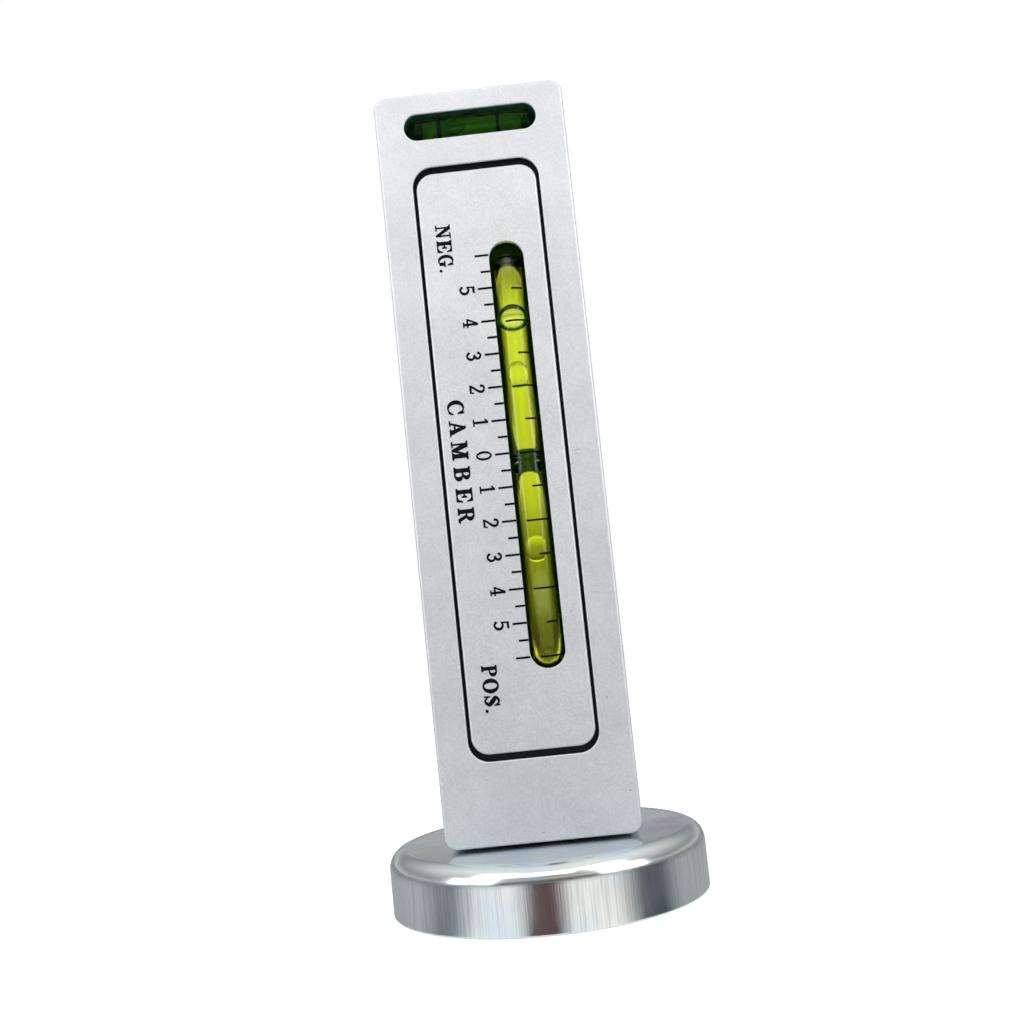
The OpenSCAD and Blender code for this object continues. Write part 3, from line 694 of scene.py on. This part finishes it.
glyphs = {
    "C": (0.88, roundC),
    "A": (0.98, [outline((0.11, 0.03), (0.2, 0.03), (0.49, 0.86), (0.42, 1.0)),
                 outline((0.37, 1.0), (0.52, 1.0), (0.9, 0.03), (0.63, 0.03)),
                 block(0.24, 0.29, 0.68, 0.36), block(0, 0, 0.31, 0.055), block(0.53, 0, 0.98, 0.055)]),
    "M": (1.17, [block(0.14, 0, 0.22, 0.97), outline((0.08, 1), (0.36, 1), (0.64, 0.2), (0.56, 0), (0.5, 0)),
                 outline((0.5, 0), (0.6, 0), (0.92, 1), (0.84, 1)), *serifStem(0.81, 1.04, 0.12),
                 block(0, 0, 0.35, 0.055), block(0, 0.945, 0.2, 1)]),
    "B": (0.86, serifStem(0.1, 0.33, 0.1) + [
        bowl((0.44, 0.765), (0.34, 0.235), (0.12, 0.18), -90, 90), block(0.3, 0.945, 0.45, 1),
        bowl((0.46, 0.275), (0.39, 0.275), (0.16, 0.22), -90, 90), block(0.3, 0, 0.47, 0.055),
        block(0.3, 0.495, 0.47, 0.55)]),
    "E": (0.86, letterE),
    "R": (0.94, serifStem(0.1, 0.33) + upperBowl + [
        outline((0.42, 0.54), (0.62, 0.5), (0.84, 0.09), (0.94, 0.12), (0.95, 0.05), (0.86, 0), (0.68, 0))]),
    "N": (0.95, [block(0.15, 0.03, 0.22, 0.94),
                 outline((0.03, 1), (0.3, 1), (0.8, 0.13), (0.8, 0), (0.72, 0)),
                 block(0.74, 0.1, 0.81, 0.97), block(0, 0, 0.37, 0.055), block(0.58, 0.945, 0.97, 1),
                 block(0.0, 0.945, 0.1, 1)]),
    "G": (0.98, roundC[:2] + [bowl((0.46, 0.5), (0.46, 0.52), (0.32, 0.455), 280, 330, 0.08),
                              block(0.62, 0.06, 0.85, 0.42), block(0.5, 0.39, 0.97, 0.445)]),
    "P": (0.84, serifStem(0.1, 0.33) + upperBowl),
    "O": (0.98, [bowl((0.49, 0.5), (0.49, 0.52), (0.24, 0.45), 0, 180),
                 bowl((0.49, 0.5), (0.49, 0.52), (0.24, 0.45), 180, 360)]),
    "S": (0.78, [penStroke([(0.66, 0.78), (0.42, 0.96), (0.17, 0.75), (0.38, 0.55), (0.62, 0.29),
                            (0.38, 0.035), (0.11, 0.24)], [0.06, 0.08, 0.2, 0.27, 0.22, 0.08, 0.05]),
                 outline((0.63, 0.99), (0.7, 0.99), (0.71, 0.64), (0.66, 0.64)),
                 outline((0.05, 0.01), (0.12, 0.01), (0.11, 0.37), (0.06, 0.37))]),
    "T": (0.9, serifStem(0.335, 0.565, 0.11, True, False) + [
        block(0.02, 0.94, 0.88, 1), outline((0, 1), (0.2, 0.95), (0.1, 0.86), (0.05, 0.68), (0, 0.68)),
        outline((0.9, 1), (0.7, 0.95), (0.8, 0.86), (0.85, 0.68), (0.9, 0.68))]),
    ".": (0.2, [dot]),
    "0": (0.6, [bowl((0.3, 0.5), (0.3, 0.515), (0.185, 0.44), 0, 180),
                bowl((0.3, 0.5), (0.3, 0.515), (0.185, 0.44), 180, 360)]),
    "1": (0.6, [block(0.25, 0, 0.37, 1),
                outline((0.27, 1), (0.33, 1), (0.31, 0.86), (0.1, 0.79), (0.1, 0.85)),
                block(0.09, 0, 0.54, 0.06)]),
    "2": (0.6, [penStroke([(0.08, 0.74), (0.13, 0.93), (0.31, 0.97), (0.49, 0.86), (0.48, 0.64),
                           (0.26, 0.33), (0.06, 0.07)], [0.13, 0.1, 0.08, 0.12, 0.13, 0.1, 0.08]),
                block(0.03, 0, 0.55, 0.1), outline((0.48, 0.0), (0.55, 0.0), (0.59, 0.25), (0.54, 0.25))]),
    "3": (0.6, [penStroke([(0.07, 0.8), (0.27, 0.965), (0.48, 0.84), (0.46, 0.64), (0.24, 0.54)],
                          [0.13, 0.08, 0.12, 0.13, 0.06]),
                penStroke([(0.24, 0.54), (0.49, 0.46), (0.53, 0.22), (0.29, 0.03), (0.06, 0.2)],
                          [0.06, 0.1, 0.14, 0.08, 0.13])]),
    "4": (0.62, [outline((0.36, 1), (0.46, 1), (0.11, 0.33), (0.02, 0.33)), block(0.02, 0.26, 0.62, 0.33),
                 block(0.36, 0, 0.48, 1), block(0.24, 0, 0.6, 0.055)]),
    "5": (0.6, [outline((0.11, 1.0), (0.53, 1.0), (0.5, 0.9), (0.12, 0.88)),
                outline((0.1, 1), (0.16, 1), (0.15, 0.55), (0.08, 0.5)),
                penStroke([(0.1, 0.52), (0.3, 0.6), (0.52, 0.46), (0.52, 0.2), (0.28, 0.03), (0.06, 0.17)],
                          [0.06, 0.09, 0.13, 0.14, 0.08, 0.13])]),
}


def inkSpread(shape):
    # Each side moves outwards by the ink's spread, and a corner moves along the sum of its two
    # normals over one plus their product, as a mitre does.
    edge = np.roll(shape, -1, 0) - shape
    normal = np.stack([edge[:, 1], -edge[:, 0]], -1) / np.maximum(np.linalg.norm(edge, axis=1), 1e-9)[:, None]
    before = np.roll(normal, 1, 0)
    mitre = (before + normal) / np.maximum(1 + (before * normal).sum(1), inkSet["leastMitre"])[:, None]
    return shape + inkSet["spread"] * mitre


def glyphMesh(shapes):
    # Triangles of the union of flat shapes, from a constrained Delaunay triangulation that keeps
    # the triangles that lie in at least one shape.
    corners, faces, start = [], [], 0
    for shape in shapes:
        x, y = shape.T
        around = 1 if np.sum(x * np.roll(y, -1) - y * np.roll(x, -1)) > 0 else -1
        corners += [Vector(point) for point in inkSpread(shape[::around])]
        faces.append(list(range(start, start + len(shape))))
        start += len(shape)
    points, _, triangles, _, _, sources = delaunay_2d_cdt(corners, [], faces, 1, inkSet["merge"])
    kept = [list(triangle) for triangle, source in zip(triangles, sources) if source]
    return np.array([tuple(point) for point in points]), kept


def inkSheet(flat, triangles, place):
    # Thin closed sheet: the flat triangles twice, a print's thickness apart, with a wall along each
    # edge that only one triangle has. place turns flat points and a lift into points in the frame.
    count = len(flat)
    points = np.concatenate([place(flat, 0.0), place(flat, inkSet["thickness"] * mm)])
    edges = {}
    for a, b, c in triangles:
        for edge in ((a, b), (b, c), (c, a)):
            edges[tuple(sorted(edge))] = None if tuple(sorted(edge)) in edges else edge
    walls = [[a, b, b + count, a + count] for a, b in (edge for edge in edges.values() if edge)]
    tops = [[a + count, b + count, c + count] for a, b, c in triangles]
    return points, triangles + tops + walls


def printedOn(side, baseline, height, centreZ, stretch, way):
    # Placing function for a glyph that is turned a quarter: its height runs along X from the
    # baseline, and it reads down the bar.
    faceY = low.y if side < 0 else high.y

    def place(flat, lift):
        return np.stack([baseline + way * flat[:, 1] * height, np.full(len(flat), faceY + side * lift),
                         centreZ - flat[:, 0] * height * stretch], -1)
    return place


def wordParts(text, side, line, spans):
    # Letters of a word between a line's base and top. spans gives the z where each letter starts
    # and ends, in millimetres.
    parts = []
    base, top = line
    height = abs(top - base) * mm
    for letter, (start, end) in zip(text, spans):
        width, shapes = glyphs[letter]
        flat, triangles = glyphMesh(shapes)
        place = printedOn(side, base * mm, height, start * mm, (start - end) * mm / (width * height),
                          1 if top > base else -1)
        parts.append(inkSheet(flat, triangles, place))
    return parts


# Lines are X places of a print's base and top on the front. On the rear a word's base and top
# change places. Letters have a centre and a width, or the z where each starts and ends.
printSet = {
    "titleLine": (-8.0, -5.55),
    "titleCentres": [77.7, 74.4, 70.9, 67.25, 63.95, 60.8],
    "signs": {"sign_up": ("NEG.", (-7.1, -4.85), [(106.72, 104.64), (104.25, 102.4), (101.95, 100.05),
                                                  (99.68, 99.22)]),
              "sign_down": ("POS.", (-6.85, -4.55), [(37.55, 35.85), (35.55, 33.38), (33.05, 31.3),
                                                     (30.95, 30.45)])},
}
scaleMid = sum(corner.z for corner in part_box("camber_scale_marks")) / 2 / mm
rearMid = casterMid / mm
faceSet = {
    "camber": {"titleWidths": [2.15, 2.4, 2.88, 2.15, 2.05, 2.25], "titleShift": 0.0,
               "numeralLine": (-4.27, -2.0), "numeralWidth": 1.36, "pitch": 5.25, "degrees": 5,
               "zeros": [scaleMid]},
    "caster": {"titleWidths": [2.15, 2.4, 1.9, 2.15, 2.05, 2.25], "titleShift": rearMid - scaleMid,
               "numeralLine": (-1.95, -4.1), "numeralWidth": 1.25, "pitch": 2.6, "degrees": 4,
               "zeros": [rearMid - casterReach, rearMid + casterReach]},
}


def spread(centres, widths):
    return [(centre + width / 2, centre - width / 2) for centre, width in zip(centres, widths)]


for face, values in faceSet.items():
    side = sideOf[face]
    # The numbers go from the highest degree through 0 and up again, each centred on its line
    numerals = [(abs(degree), zero + degree * values["pitch"]) for zero in values["zeros"]
                for degree in range(-values["degrees"], values["degrees"] + 1)]
    prints = {"numerals": [part for number, z in numerals for part in wordParts(
        str(number), side, values["numeralLine"], spread([z], [values["numeralWidth"]]))]}
    centres = [z + values["titleShift"] for z in printSet["titleCentres"]]
    prints["title"] = wordParts(face.upper(), side, printSet["titleLine"][::-side],
                                spread(centres, values["titleWidths"]))
    for sign, (text, line, spans) in printSet["signs"].items():
        prints[sign] = wordParts(text, side, line[::-side], spans)
    for kind, parts in prints.items():
        makePiece(face + "_" + kind, parts, "black_ink")
print("print is made")


# Vials. A vial's surface is a ring carried along its axis.
vialSet = {"around": 128, "along": 120, "polishRings": 7, "bubbleRings": 49, "skinGap": 0.006,
           "borePlay": 0.01,
           "camber": {"wall": 0.8, "plug": 1.6},
           "caster": {"wall": 0.8, "plug": 1.6, "polish": 0.4},
           "level": {"wall": 0.65, "plug": 1.2, "polish": 0.6}}


def carried(placeRing, stations, radii):
    # Rings of the given radii at stations along an axis, as loops for a skin.
    turn = np.linspace(0, 2 * np.pi, vialSet["around"], endpoint=False)
    return [placeRing(station, radius, turn) for station, radius in zip(stations, radii)]


def bentAxis(pivot, bend):
    # Ring place on an arc about the far centre of the camber vial. A ring stands square to the arc,
    # and its station is the angle on the arc.
    def place(angle, radius, turn):
        out = bend + radius * np.sin(turn)
        return np.stack([pivot[0] + radius * np.cos(turn), pivot[1] - out * math.cos(angle),
                         pivot[2] + out * math.sin(angle)], -1)
    return place


def straightAxis(centre, along):
    # Ring place on a straight axis through a centre, along X or Z.
    def place(station, radius, turn):
        across, deep = radius * np.cos(turn), centre[1] - radius * np.sin(turn)
        far = np.full(len(turn), station)
        return np.stack([centre[0] + across, deep, far] if along == "Z"
                        else [far, deep, centre[2] + across], -1)
    return place


def tubePiece(name, node, outerLoops, boreLoops, materials, isBore):
    ends = [[outerLoops[end], boreLoops[end]] for end in (0, -1)]
    makePiece(name, [lofted(loops) for loops in (outerLoops, boreLoops, *ends)], "vial_glass", materials,
              stands=[node], sharp=50, materialOf=isBore)


def spiritPiece(name, node, loops, material):
    # The liquid's skin, closed to a point at the middle of each end.
    start, end = (np.tile(loop.mean(0), (len(loop), 1)) for loop in (loops[0], loops[-1]))
    makePiece(name, [lofted([start, *loops, end])], "vial_liquid", [material], stands=[node], sharp=50)


def bubblePiece(name, prefix, vial, along, pivot):
    # Rings along the axis, tilted as the bore is there. A ring's radius is half the thickness times
    # (1 - share of the half length ^ a) ^ (1 / a), which is round at 2 and grows fuller with a.
    bubbleLow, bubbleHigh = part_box(prefix + "_bubble")
    centre = (bubbleLow + bubbleHigh) / 2
    axis, across, tiltAxis, way = (2, 0, "X", -1) if along == "Z" else (0, 2, "Z", 1)
    thickness = bubbleHigh[across] - bubbleLow[across]
    reach = centre[axis] - pivot[axis]
    tilt = way * math.asin(reach / math.hypot(reach, centre.y - pivot[1]))
    length, form, belt = (bubbleSet[vial][key] for key in ("length", "form", "belt"))
    share = np.sin(np.linspace(-np.pi / 2, np.pi / 2, vialSet["bubbleRings"]))
    radii = thickness / 2 * (1 - np.abs(share) ** form) ** (1 / form)
    points, quads = lofted(carried(straightAxis((0, 0, 0), along), share * length * mm / 2, radii))
    points = points @ np.array(Matrix.Rotation(tilt, 3, tiltAxis)).T + np.array(centre)

    def onRim(centres):
        # The belt that faces sideways, and so stands round the bubble as a ring from the front or back. It
        # takes the rim's darker colour, a painted dark ring.
        return np.abs(centres[:, 1] - centre.y) < belt * thickness / 2

    makePiece(name, [(points, quads)], "air_bubble", airOf[vial], prefix + "_air",
              [prefix + "_bubble"], sharp=180, materialOf=onRim)


# The slot's own material comes first, so the camber bubble's middle shares it
airOf = {vial: [finish["air_bubble"] if (vial, part) == ("camber", "tint") else bubbleAir(vial, part)
                for part in ("tint", "rim")] for vial in bubbleSet}

# Camber vial, bent to a long arc
hinge = joints["camber_bubble_run"]["pos_m"]
wall, plug = (vialSet["camber"][key] * mm for key in ("wall", "plug"))
tubeRadius = (tubeHigh.x - tubeLow.x) / 2
boreRadius = tubeRadius - wall
bendRadius = hinge[1] - tubeLow.y - tubeRadius
halfAngle = math.asin((tubeHigh.z - hinge[2]) / (bendRadius + tubeRadius))


def bentLoops(radius, endAngle):
    stations = np.linspace(-endAngle, endAngle, vialSet["along"])
    return carried(bentAxis(hinge, bendRadius), stations, np.full(len(stations), radius))


def inBentBore(centres):
    out = np.hypot(centres[:, 1] - hinge[1], centres[:, 2] - hinge[2]) - bendRadius
    return np.hypot(centres[:, 0] - hinge[0], out) < (boreRadius + weldDistance)


tubePiece("camber_vial_glass", "camber_vial_tube", bentLoops(tubeRadius, halfAngle),
          bentLoops(boreRadius, halfAngle), [finish["vial_glass"], boreFinish], inBentBore)
spiritPiece("camber_vial_spirit", "camber_vial_fluid",
            bentLoops(boreRadius - vialSet["skinGap"] * mm, halfAngle - plug / bendRadius),
            finish["vial_liquid"])
bubblePiece("camber_vial_bubble", "camber", "camber", "Z", hinge)


def straightVial(prefix, vial, along, glass, bore, spirit):
    # Straight vial with a barrel ground bore: the bore's radius falls from the middle as on an arc
    # of the barrel's radius.
    tubeBottom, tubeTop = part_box(prefix + "_tube")
    pivot = joints[prefix + "_bubble_run"]["pos_m"]
    axis, across = (2, 0) if along == "Z" else (0, 2)
    start, end = tubeBottom[axis], tubeTop[axis]
    wall, plug, soft = (vialSet[vial][key] * mm for key in ("wall", "plug", "polish"))
    outer = (tubeTop.y - tubeBottom.y) / 2
    inner = outer - wall
    centre = (tubeBottom + tubeTop) / 2
    centre[axis] = pivot[axis]
    barrel = pivot[1] - centre.y + inner
    ring = straightAxis(centre, along)

    def boreAt(station):
        return inner - barrel + np.sqrt(barrel ** 2 - (station - pivot[axis]) ** 2)

    def inBore(centres):
        away = np.hypot(centres[:, 1] - centre.y, centres[:, across] - centre[across])
        spot = centres[:, axis]
        inside = (spot > start + weldDistance) & (spot < end - weldDistance)
        return (away < boreAt(spot) + vialSet["borePlay"] * mm) & inside

    # Many rings between the two polished ends keep the tilt of the ends' normals near the ends
    turn = np.linspace(0, np.pi / 2, vialSet["polishRings"])
    between = np.linspace(start + soft, end - soft, vialSet["along"])[1:-1]
    inset, shrink = soft * (1 - np.cos(turn)), soft * (1 - np.sin(turn))
    stations = np.concatenate([start + inset, between, end - inset[::-1]])
    radii = outer - np.concatenate([shrink, np.zeros(len(between)), shrink[::-1]])
    ground = np.linspace(start, end, vialSet["along"])
    wet = np.linspace(start + plug, end - plug, vialSet["along"])
    tubePiece(prefix + "_glass", prefix + "_tube", carried(ring, stations, radii),
              carried(ring, ground, boreAt(ground)), [glass, bore], inBore)
    spiritPiece(prefix + "_spirit", prefix + "_fluid",
                carried(ring, wet, boreAt(wet) - vialSet["skinGap"] * mm), spirit)
    bubblePiece(prefix + "_air_pocket", prefix, vial, along, pivot)


for prefix in ("upper_caster", "lower_caster"):
    straightVial(prefix, "caster", "Z", finish["vial_glass"], boreFinish, finish["vial_liquid"])
straightVial("level", "level", "X", crossGlass, crossBore, greenSpirit)
print("vials are made")


# Magnet cup: a profile turned about the Z axis. The crease is a shallow groove round the top.
cupSet = {"shoulder": 2.8, "rim": 0.4, "sheet": 1.8, "innerRound": 1.0, "hole": 2.75, "wallRing": 0.1,
          "creaseAt": 21.9, "creaseDepth": 0.025, "creaseWidth": 0.2, "around": 320,
          "rimSteps": 7, "shoulderSteps": 22, "creaseSteps": 9, "innerSteps": 8}


def quarter(centreR, centreZ, radius, start, end, steps):
    turn = np.radians(np.linspace(start, end, steps))
    return np.stack([centreR + radius * np.cos(turn), centreZ + radius * np.sin(turn)], -1)


def cupParts():
    # A point of the profile at radius r and height z becomes a ring (r cos, r sin, z).
    radius, _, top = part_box("magnet_cup")[1]
    shoulder, rim, sheet, inner, hole, wallRing, creaseAt, creaseDepth, creaseWidth = (
        cupSet[key] * mm for key in ("shoulder", "rim", "sheet", "innerRound", "hole", "wallRing",
                                     "creaseAt", "creaseDepth", "creaseWidth"))
    bore = radius - sheet
    crease = np.linspace(-1, 1, cupSet["creaseSteps"])
    dip = np.stack([creaseAt - crease * creaseWidth, top - creaseDepth * np.cos(crease * np.pi / 2) ** 2], -1)
    profile = np.concatenate([
        [(bore, 0.0)], quarter(radius - rim, rim, rim, -90, 0, cupSet["rimSteps"]),
        [(radius, rim + wallRing), (radius, top - shoulder - wallRing)],
        quarter(radius - shoulder, top - shoulder, shoulder, 0, 90, cupSet["shoulderSteps"]), dip,
        [(hole, top), (hole, top - sheet)],
        quarter(bore - inner, top - sheet - inner, inner, 90, 0, cupSet["innerSteps"]), [(bore, 0.0)]])
    turn = np.linspace(0, 2 * np.pi, cupSet["around"], endpoint=False)
    return [lofted([np.stack([r * np.cos(turn), r * np.sin(turn), np.full(len(turn), z)], -1)
                    for r, z in profile])]


makePiece("magnet_pot", cupParts(), "zinc_plated_cup", stands=["magnet_cup"])
print("cup is made")


# Floor and light. The camera sees a plain white. Mirrored rays and rays through the glass see the
# same studio as a room, whose brightness goes by the height of a ray's direction.
stageSet = {
    "floorRadius": 0.6,       # metres
    "floorAround": 96, "floorDrop": 0.02,
    "worldLight": 0.5, "floorGlow": 0.62, "floorMirror": 0.18,
    "mirrorShade": [(-0.1, 0.13), (0.02, 0.2), (0.12, 0.62), (0.3, 0.3), (0.5, 0.5), (0.85, 0.95)],
    "throughShade": [(-0.1, 0.04), (-0.028, 0.08), (-0.0155, 0.16), (0.0175, 0.28), (0.0675, 0.39),
                     (0.109, 0.75), (0.17, 0.92), (0.185, 1.0), (0.23, 0.96), (0.255, 0.92), (0.272, 0.8),
                     (0.285, 0.5), (0.297, 0.36), (0.312, 0.6), (0.33, 0.75), (0.39, 0.75), (0.42, 0.22),
                     (0.7, 0.12)],
    # share of that brightness by how far a ray heads to the left or right
    "throughSpread": [(-0.9, 0.03), (-0.3, 0.1), (-0.14, 0.35), (-0.07, 0.75), (-0.03, 0.95), (0.02, 1.0),
                      (0.07, 0.9), (0.14, 0.5), (0.3, 0.15), (0.9, 0.03)],
    "frontShift": 0.22,       # lowers the mirrored room for rays that head to the front
}
lampSet = {
    "keyLight": {"place": (-280, -300, 430), "aim": (0, 0, 90), "size": (320, 260), "power": 0.32},
    "fillLight": {"place": (320, -280, 400), "aim": (0, 0, 60), "size": (260, 260), "power": 0.4},
    "frontLight": {"place": (0, -400, 410), "aim": (0, -10, 60), "size": (320, 200), "power": 0.34},
    "leftPanel": {"place": (-380, -270, 165), "aim": (0, 0, 70), "size": (300, 260), "power": 0.62},
    "rightPanel": {"place": (380, -270, 165), "aim": (0, 0, 70), "size": (300, 260), "power": 0.62},
}


def roomShade(tree, height, stops):
    # Brightness of the room by one part of a ray's direction
    first, last = stops[0][0], stops[-1][0]
    at = addNode(tree, "MapRange", {"From Min": first, "From Max": last}, {"Value": height})
    return addNode(tree, "ValToRGB", {}, {"Fac": at}, [
        ((place - first) / (last - first), (level, level, level, 1.0)) for place, level in stops])


def makeWorld():
    world = bpy.data.worlds.new("studio")
    bpy.context.scene.world = world
    world.use_nodes = True
    tree = world.node_tree
    tree.nodes.clear()
    path = addNode(tree, "LightPath")
    way = addNode(tree, "SeparateXYZ", {}, {0: addNode(tree, "TexCoord").outputs["Generated"]})
    front = addNode(tree, "Math", {"operation": "MINIMUM", 1: 0.0}, {0: way.outputs["Y"]})
    lower = addNode(tree, "Math", {"operation": "MULTIPLY_ADD", 1: stageSet["frontShift"]},
                    {0: front, 2: way.outputs["Z"]})
    through = addNode(tree, "Mix", {"data_type": "RGBA", "blend_type": "MULTIPLY", "Factor": 1.0},
                      {6: roomShade(tree, way.outputs["Z"], stageSet["throughShade"]),
                       7: roomShade(tree, way.outputs["X"], stageSet["throughSpread"])})
    seen = addNode(tree, "Background", {"Color": "#FBFCFF", "Strength": stageSet["worldLight"]})
    for flag, colour in (
            ("Is Glossy Ray", {"Color": roomShade(tree, lower, stageSet["mirrorShade"])}),
            ("Is Transmission Ray", {"Color": through.outputs[2]}), ("Is Camera Ray", {})):
        room = addNode(tree, "Background", {"Color": "#FFFFFF", "Strength": 1.0}, colour)
        seen = addNode(tree, "MixShader", {}, {0: path.outputs[flag], 1: seen, 2: room})
    addNode(tree, "OutputWorld", {}, {"Surface": seen})


def stageMesh(name, points, faces, material):
    mesh = bpy.data.meshes.new(name)
    mesh.from_pydata(points.tolist(), [], faces)
    mesh.materials.append(material)
    piece = addObject(name, mesh)
    return piece


def makeFloor():
    # A round sheet. It glows for the rays that should see plain white, and less in the mirrors.
    material, tree, _ = newMaterial("matteWhiteFloor")
    matte = addNode(tree, "BsdfDiffuse", {"Color": "#F4F4F4"})
    path = addNode(tree, "LightPath")
    seen = addNode(tree, "Math", {"operation": "ADD"},
                   {0: path.outputs["Is Camera Ray"], 1: path.outputs["Is Transmission Ray"]})
    mirrored = addNode(tree, "Math", {"operation": "MULTIPLY", 1: stageSet["floorMirror"]},
                       {0: path.outputs["Is Glossy Ray"]})
    share = addNode(tree, "Math", {"operation": "MULTIPLY_ADD", 1: stageSet["floorGlow"]},
                    {0: seen, 2: mirrored})
    glow = addNode(tree, "Emission", {"Color": "#FFFFFF"}, {"Strength": share})
    both = addNode(tree, "AddShader", {}, {0: matte, 1: glow})
    around = stageSet["floorAround"]
    turn = np.linspace(0, 2 * np.pi, around, endpoint=False)
    points = np.stack([stageSet["floorRadius"] * np.cos(turn), stageSet["floorRadius"] * np.sin(turn),
                       np.full(around, -stageSet["floorDrop"] * mm)], -1)
    stageMesh("floor", points, [list(range(around))], finishMaterial(material, both))


# A dark paper ring on the floor round the cup, seen only by mirrored rays, so the bright side of
# the cup shows soft dark bands. The bands give the paper's darkness by the angle on the cup's side,
# in degrees from the front.
paperSet = {
    "near": 0.3, "far": 260.0, "height": 0.1, "halfTurn": 86, "across": 345, "outwards": 12,
    "bands": [(-90, 0.5), (-52, 0.5), (-45, 0.66), (-39, 0.8), (-35, 0.76), (-30, 0.45), (-26, 0.1),
              (-22, 0.0), (-11, 0.0), (-8, 0.5), (-6, 0.92), (2, 0.96), (5, 0.5), (8, 0.0), (20, 0.0),
              (25, 0.2), (29, 0.6), (33, 0.9), (42, 0.96), (47, 0.7), (54, 0.56), (90, 0.5)],
    "farDark": ((0.05, 0.14), (0.0, 0.8)),      # reach in metres, darkness
    "warm": "#5A2E2A", "cool": "#33424C", "warmTurn": 25,
}


def addPaper():
    # A point of the paper is the cup's foot at an angle, plus a distance along twice that angle,
    # which is where a mirror standing at the foot looks when it is seen from the front.
    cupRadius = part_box("magnet_cup")[1].x
    wide, deep = paperSet["across"], paperSet["outwards"]
    angles = np.linspace(-paperSet["halfTurn"], paperSet["halfTurn"], wide)
    reach = np.geomspace(paperSet["near"], paperSet["far"], deep) * mm
    a, d = np.meshgrid(np.radians(angles), reach, indexing="ij")
    points = np.stack([cupRadius * np.sin(a) + d * np.sin(2 * a), -cupRadius * np.cos(a) - d * np.cos(2 * a),
                       np.full(a.shape, paperSet["height"] * mm)], -1).reshape(-1, 3)
    dark = np.maximum(np.interp(angles, *zip(*paperSet["bands"]))[:, None],
                      np.interp(reach, *paperSet["farDark"]))
    warmth = np.repeat(np.clip(1 - np.abs(angles) / paperSet["warmTurn"], 0, 1), deep)
    material, tree, _ = newMaterial("darkPaper")
    level, middle = (addNode(tree, "Attribute", {"attribute_name": name}).outputs["Fac"]
                     for name in ("darkness", "warmth"))
    colour = addNode(tree, "Mix", {"data_type": "RGBA", 6: paperSet["cool"], 7: paperSet["warm"]},
                     {"Factor": middle})
    paper = addNode(tree, "BsdfDiffuse", {}, {"Color": colour.outputs[2]})
    clear = addNode(tree, "BsdfTransparent")
    both = addNode(tree, "MixShader", {}, {0: level, 1: clear, 2: paper})
    sheet = stageMesh("reflectionPaper", points, gridFaces(wide, deep, False), finishMaterial(material, both))
    for name, values in (("darkness", dark), ("warmth", warmth)):
        attribute = sheet.data.attributes.new(name, "FLOAT", "POINT")
        attribute.data.foreach_set("value", values.ravel())
    for ray in ("camera", "diffuse", "transmission", "volume_scatter", "shadow"):
        setattr(sheet, "visible_" + ray, False)


def addSoftbox(name, values):
    lamp = bpy.data.lights.new(name, "AREA")
    lamp.shape = "RECTANGLE"
    lamp.size, lamp.size_y = (side * mm for side in values["size"])
    lamp.energy = values["power"]
    box = addObject(name, lamp)
    box.visible_transmission = False
    place, aim = Vector(values["place"]), Vector(values["aim"])
    box.location = place * mm
    box.rotation_euler = (aim - place).to_track_quat("-Z", "Y").to_euler()


makeWorld()
makeFloor()
addPaper()
for name, values in lampSet.items():
    addSoftbox(name, values)
scene = bpy.context.scene
scene.view_settings.view_transform = "Standard"
scene.cycles.max_bounces = 32
scene.cycles.transmission_bounces = 28
print("floor and light are set")
